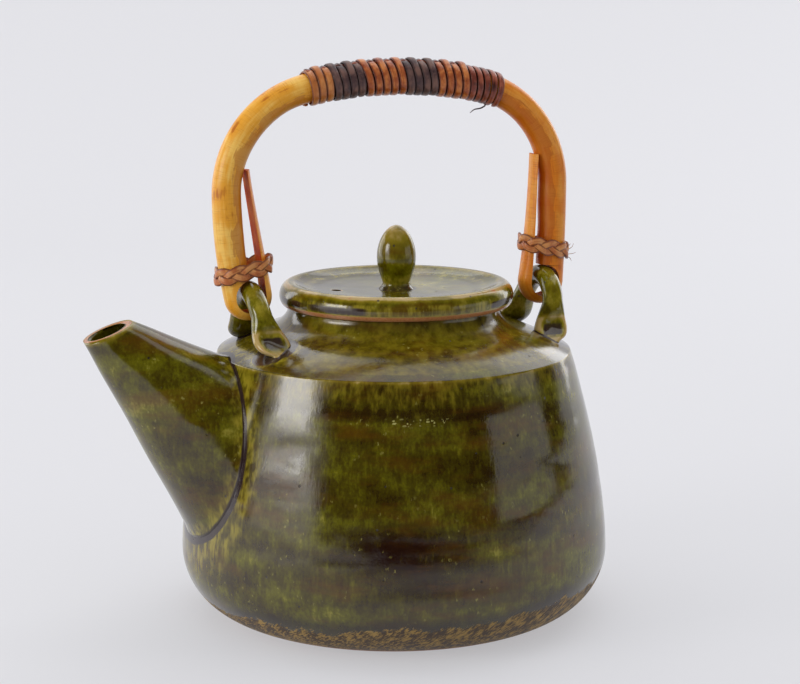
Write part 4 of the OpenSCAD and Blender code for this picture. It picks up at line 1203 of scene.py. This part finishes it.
def grip_spot(d):
    """Middle of the grip at a length d from its crown, and the tilt of its outward side."""
    past = max(0.0, abs(d) - TOP_HALF)
    side = math.copysign(1, d)
    x, z, r, tilt = 0.0, TOP_CENTRE_Z, TOP_ARC_R, d / TOP_ARC_R
    if past > 0:
        x, z, r, tilt = side * CORNER_X, SPRING_Z, CORNER_R, side * (TOP_ANGLE + past / CORNER_R)
    return x + r * math.sin(tilt), z + r * math.cos(tilt), tilt


steps = np.linspace(-REACH, REACH, 500)
grip_line = curve_object("grip_line", [(grip_spot(d)[0], 0, grip_spot(d)[1]) for d in steps])
WIDE, NARROW, STRAND_T = 2.68, 2.2, 0.9
STEPS_PER_TURN, RIDGE = 72, 0.85
# Each run: its name, turns, pitch, width, look, and how far its turns lean
runs = [("tan", 3, 2.75, WIDE, tan_strand, -0.6), ("dark_1", 4, 2.85, WIDE, dark_strand, -0.1),
        ("red_1", 5, 2.95, WIDE, red_strand, 0.5), ("dark_2", 4, 2.9, WIDE, dark_strand, 0.7),
        ("red_2", 4, 2.95, WIDE, red_strand, 0.7), ("maroon", 5, 2.6, NARROW, maroon_strand, 0.6)]
at, wraps, tops = -GRIP_START, {}, []
for seed, (label, turns, pitch, width, look, lean) in enumerate(runs):
    start = at + (WIDE - width) / 2
    wraps[label] = face_outwards(grow("wound_" + label, WINDING, {
        "Line": grip_line, "Start": (REACH + start + width / 2) * MM, "Turns": float(turns),
        "Pitch": pitch * MM, "Width": width * MM, "Thickness": STRAND_T * MM, "Radius": 5.2 * MM,
        "Ridge": (0.0 if label == "maroon" else RIDGE) * MM, "Over": 0.5 + len(tops) % 2,
        "Lean": lean * MM, "Steps": STEPS_PER_TURN * turns, "Seed": 3.7 * seed, "Material": look}))
    tops += [start + width / 2 + pitch * (k + 0.5) - lean for k in range(turns)]
    at += turns * pitch
wrap_end = at + (WIDE - NARROW) / 2 + NARROW
bpy.data.objects.remove(grip_line)
print("grip runs from", -GRIP_START, "to", round(wrap_end, 1), "mm")

# %% The strip under the turns
def grip_point(d, around, r):
    x, z, tilt = grip_spot(d)
    up = r * math.cos(around)
    return [x + up * math.sin(tilt), r * math.sin(around), z + up * math.cos(tilt)]


half_angle, maroon_turns = math.radians(20), runs[-1][1]
spread = np.linspace(-half_angle, half_angle, 9)
over = [0.95 if k % 2 == 0 and k < len(tops) - maroon_turns else 0.0 for k in range(len(tops))]
places = np.linspace(tops[0] - 0.5, wrap_end - 2 * WIDE, 240)
rings = []
for d in places:
    lift = CANE_R + STRAND_GAP + float(np.interp(d, tops, over))
    low = [grip_point(d, a, lift) for a in spread[::-1]]
    rings.append(low + [grip_point(d, a, lift + 0.1 + 0.4 * (1 - (a / half_angle) ** 4))
                        for a in spread])
strip = ring_mesh("lengthwise_strip", rings, {
    "along": np.repeat(places, 18), "across": np.tile(np.linspace(-4, 4, 18), len(places))},
    [maroon_strand])

# %% Loose ends
def thread(name, points, radius, look):
    """A thin round strand along a smooth line through the points, drawn out thin at its end."""
    points = np.asarray(points, float)
    s = np.linspace(0, len(points) - 1, 12 * len(points))
    k = np.clip(s.astype(int), 0, len(points) - 2)
    f = (s - k)[:, None]
    tangents = np.gradient(points, axis=0)
    p, q, tp, tq = points[k], points[k + 1], tangents[k], tangents[k + 1]
    path = ((2 * f ** 3 - 3 * f * f + 1) * p + (f ** 3 - 2 * f * f + f) * tp
            + (3 * f * f - 2 * f ** 3) * q + (f ** 3 - f * f) * tq)
    forward = np.gradient(path, axis=0)
    forward /= np.linalg.norm(forward, axis=1)[:, None]
    side = np.cross(forward, [0.1, 1, 0.2])
    side /= np.linalg.norm(side, axis=1)[:, None]
    up = np.cross(forward, side)
    turn = np.linspace(0, 2 * math.pi, 8, endpoint=False)
    out = np.cos(turn)[:, None] * side[:, None] + np.sin(turn)[:, None] * up[:, None]
    r = radius * (1 - 0.6 * np.linspace(0, 1, len(path)) ** 3)[:, None, None]
    return ring_mesh(name, path[:, None] + r * out, {
        "along": np.repeat(np.arange(len(path)) * 0.5, 8), "across": np.tile(turn, len(path))},
        [look])


def under_grip(d, degrees, r):
    return np.array(grip_point(d, math.radians(degrees), r))


knot = under_grip(wrap_end - 4.0, 188, 5.9)
loose = thread("loose_thread", [
    knot, knot + [0.1, 0.4, -0.7], knot + [-1.4, 0.6, -1.5], knot + [-3.6, 0.8, -1.9],
    knot + [-5.2, 0.8, -3.0]], 0.28, dark_strand)
stub = thread("strand_stub", [
    under_grip(wrap_end - 1.2, 118, 5.9), under_grip(wrap_end + 0.4, 124, 5.7),
    under_grip(wrap_end + 2.0, 128, 5.5)], 0.45, maroon_strand)
# Each torn fibre: its root beside the rear binding (y, z) and how far it reaches out and up
TORN = [(-3, 0.6, 2.4, 2.2), (-1, -1.4, 3.4, 0.6), (1, 0.9, 2.2, 1.4), (-2, -2.2, 1.6, -1.6)]
torn_x = rear_hook.middle_at(REAR_BINDING_Z) + CANE_R + 1.0
torn = []
for k, (y, z, out, up) in enumerate(TORN):
    root = np.array([torn_x - 0.1 * y * y, y, REAR_BINDING_Z - 2 + z])
    torn.append(thread(f"fibre_{k}", [root, root + [0.4 * out, 0, 0.1 * up],
                                      root + [0.8 * out, -0.4, 0.5 * up], root + [out, -0.3, up]],
                       0.11, plaited))
torn = joined("torn_fibres", torn)

# %% [markdown]
# ## Riding and replacing
#
# Each dressed piece moves with its body of the frame and stands for the plain solids that it covers.

# %% Pieces on their bodies
def dress(piece, body, slot, *nodes):
    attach(piece, body)
    if nodes:
        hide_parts(*nodes)


dress(pot, "pot", "pot_glaze", "pot_foot", "pot_bowl", "pot_wall", "pot_shoulder", "strainer")
dress(spout, "pot", "pot_glaze", "spout")
dress(spout_side_lug, "pot", "lug_glaze", "spout_side_lug")
dress(rear_lug, "pot", "lug_glaze", "rear_lug")
dress(lid, "lid", "lid_glaze", "lid", "lid_flange")
dress(knob, "lid", "lid_glaze", "lid_knob")
dress(cane, "handle", "cane", "cane_bow", "spout_side_hook", "rear_hook")
dress(spout_side_plait, "handle", "plait", "spout_side_binding")
dress(rear_plait, "handle", "plait", "rear_binding")
dress(strip, "handle", "tan_strand", "grip_core_strip")
for label, piece in wraps.items():
    dress(piece, "handle", label.split("_")[0] + "_strand", "grip_wrap_" + label)
dress(loose, "handle", "dark_strand")
dress(stub, "handle", "maroon_strand")
dress(torn, "handle", "plait")

# %% [markdown]
# ## Studio
#
# A pale table that runs up into a pale wall. On the left stands one bright soft box, with four wider
# and weaker ones behind it that let the edge of its reflection fade. A weaker panel stands on the
# right, two papers behind, left and right, light the edges of the pot and the cane, and a wide soft
# light hangs overhead and behind. Glossy glaze mirrors whatever stands round it, so the world that
# it mirrors is dim. The table glows for the camera, which keeps its shadows light, and for mirror
# rays too, except just in front of the pot, where its glow would veil the foot.

# %% Table and wall
VIEW_TURN = -20    # the table, the wall and the camera are turned this much round the pot
turn = math.radians(VIEW_TURN)
across, back = (math.cos(turn), math.sin(turn), 0.0), (-math.sin(turn), math.cos(turn), 0.0)
profile = [(-1.6, 0.0), (0.9, 0.0)]
profile += [(0.9 + 0.6 * math.sin(a), 0.6 - 0.6 * math.cos(a))
            for a in np.linspace(0.1, quarter, 16)]
profile += [(1.5, 2.2)]
corners = [(*(np.array(across[:2]) * x + np.array(back[:2]) * y), z - 0.0003)
           for y, z in profile for x in (-2.5, 2.5)]
faces = [(k - 2, k - 1, k + 1, k) for k in range(2, len(corners), 2)]
mesh = bpy.data.meshes.new("table")
mesh.from_pydata(corners, [], faces)
table = new_piece("table", mesh)
paper = bpy.data.materials.new("pale_table")
paper.use_nodes = True
shader = paper.node_tree.nodes["Principled BSDF"]
for key, value in {"Base Color": (0.34, 0.34, 0.357, 1), "Roughness": 0.85,
                   "Specular IOR Level": 0.15, "Emission Color": (1.0, 1.0, 1.03, 1)}.items():
    shader.inputs[key].default_value = value
g = Nodes(paper.node_tree)
spot = g.add("ShaderNodeTexCoord", out="Object")
depth, sideways = (g.vector("DOT_PRODUCT", spot, way, out="Value") for way in (back, across))
ahead = depth.between(-0.06, -0.32) * sideways.between(-0.16, -0.06)
mirrored = g.add("ShaderNodeLightPath", out="Is Glossy Ray") * (1.0 - ahead)
seen = g.math("MAXIMUM", g.add("ShaderNodeLightPath", out="Is Camera Ray"), mirrored)
g.link(seen * 0.42, shader.inputs["Emission Strength"])
table.data.materials.append(paper)
print("table and wall:", len(faces), "faces")

# %% Lights
def soft_box(name, azimuth, elevation, distance, width, tall, brightness, tint=(1, 1, 1)):
    """A rectangle of light seen from the pot at this angle. Azimuth runs from the front to +X."""
    light = bpy.data.lights.new(name, "AREA")
    light.shape, light.size, light.size_y = "RECTANGLE", width, tall
    light.energy = brightness * math.pi * width * tall
    light.color = tint
    made = placed(name, light)
    a, e = math.radians(azimuth), math.radians(elevation)
    way = Vector((math.sin(a) * math.cos(e), -math.cos(a) * math.cos(e), math.sin(e)))
    made.location = Vector((0, 0, 0.07)) + way * distance
    made.rotation_euler = way.to_track_quat("Z", "Y").to_euler()


WARM = (1.0, 0.98, 0.95)
soft_box("left_box", -82, 17, 1.3, 0.5, 0.28, 5.0, WARM)
soft_box("left_rim", -82, 15, 1.31, 0.66, 0.4, 1.3, WARM)
soft_box("left_fade", -82, 14, 1.32, 0.8, 0.5, 0.8, WARM)
soft_box("left_spill", -82, 2, 1.34, 0.95, 0.4, 0.75, WARM)
soft_box("left_edge", -82, 6, 1.36, 1.15, 0.6, 0.45, WARM)
soft_box("right_panel", 57, 7, 1.3, 1.0, 0.32, 0.72)
soft_box("left_paper", -136, 6, 1.6, 1.2, 1.2, 1.8)
soft_box("right_paper", 130, 6, 1.6, 1.1, 1.2, 2.2)
soft_box("overhead", 152, 60, 1.5, 2.0, 1.7, 1.1)

world = bpy.data.worlds.new("studio_world")
scene.world = world
world.use_nodes = True
g = Nodes(world.node_tree)
shade = g.mix(g.add("ShaderNodeLightPath", out="Is Glossy Ray"), (0.62, 0.62, 0.64, 1),
              (0.015, 0.015, 0.015, 1))
shade = g.mix(g.add("ShaderNodeLightPath", out="Is Camera Ray"), shade, (0.80, 0.81, 0.84, 1))
g.link(shade, world.node_tree.nodes["Background"].inputs["Color"])

# %% Camera
camera_data = bpy.data.cameras.new("camera")
camera_data.lens, camera_data.sensor_width = 94.74, 36.0
camera = placed("camera", camera_data)
camera.location = (-0.246, -0.6821, 0.22866)
camera.rotation_euler = (math.radians(90 - 10.49), 0, math.radians(VIEW_TURN))
scene.camera = camera
scene.view_settings.view_transform = "Standard"
print("camera:", camera_data.lens, "mm lens,", round(camera.location.length, 3), "m away")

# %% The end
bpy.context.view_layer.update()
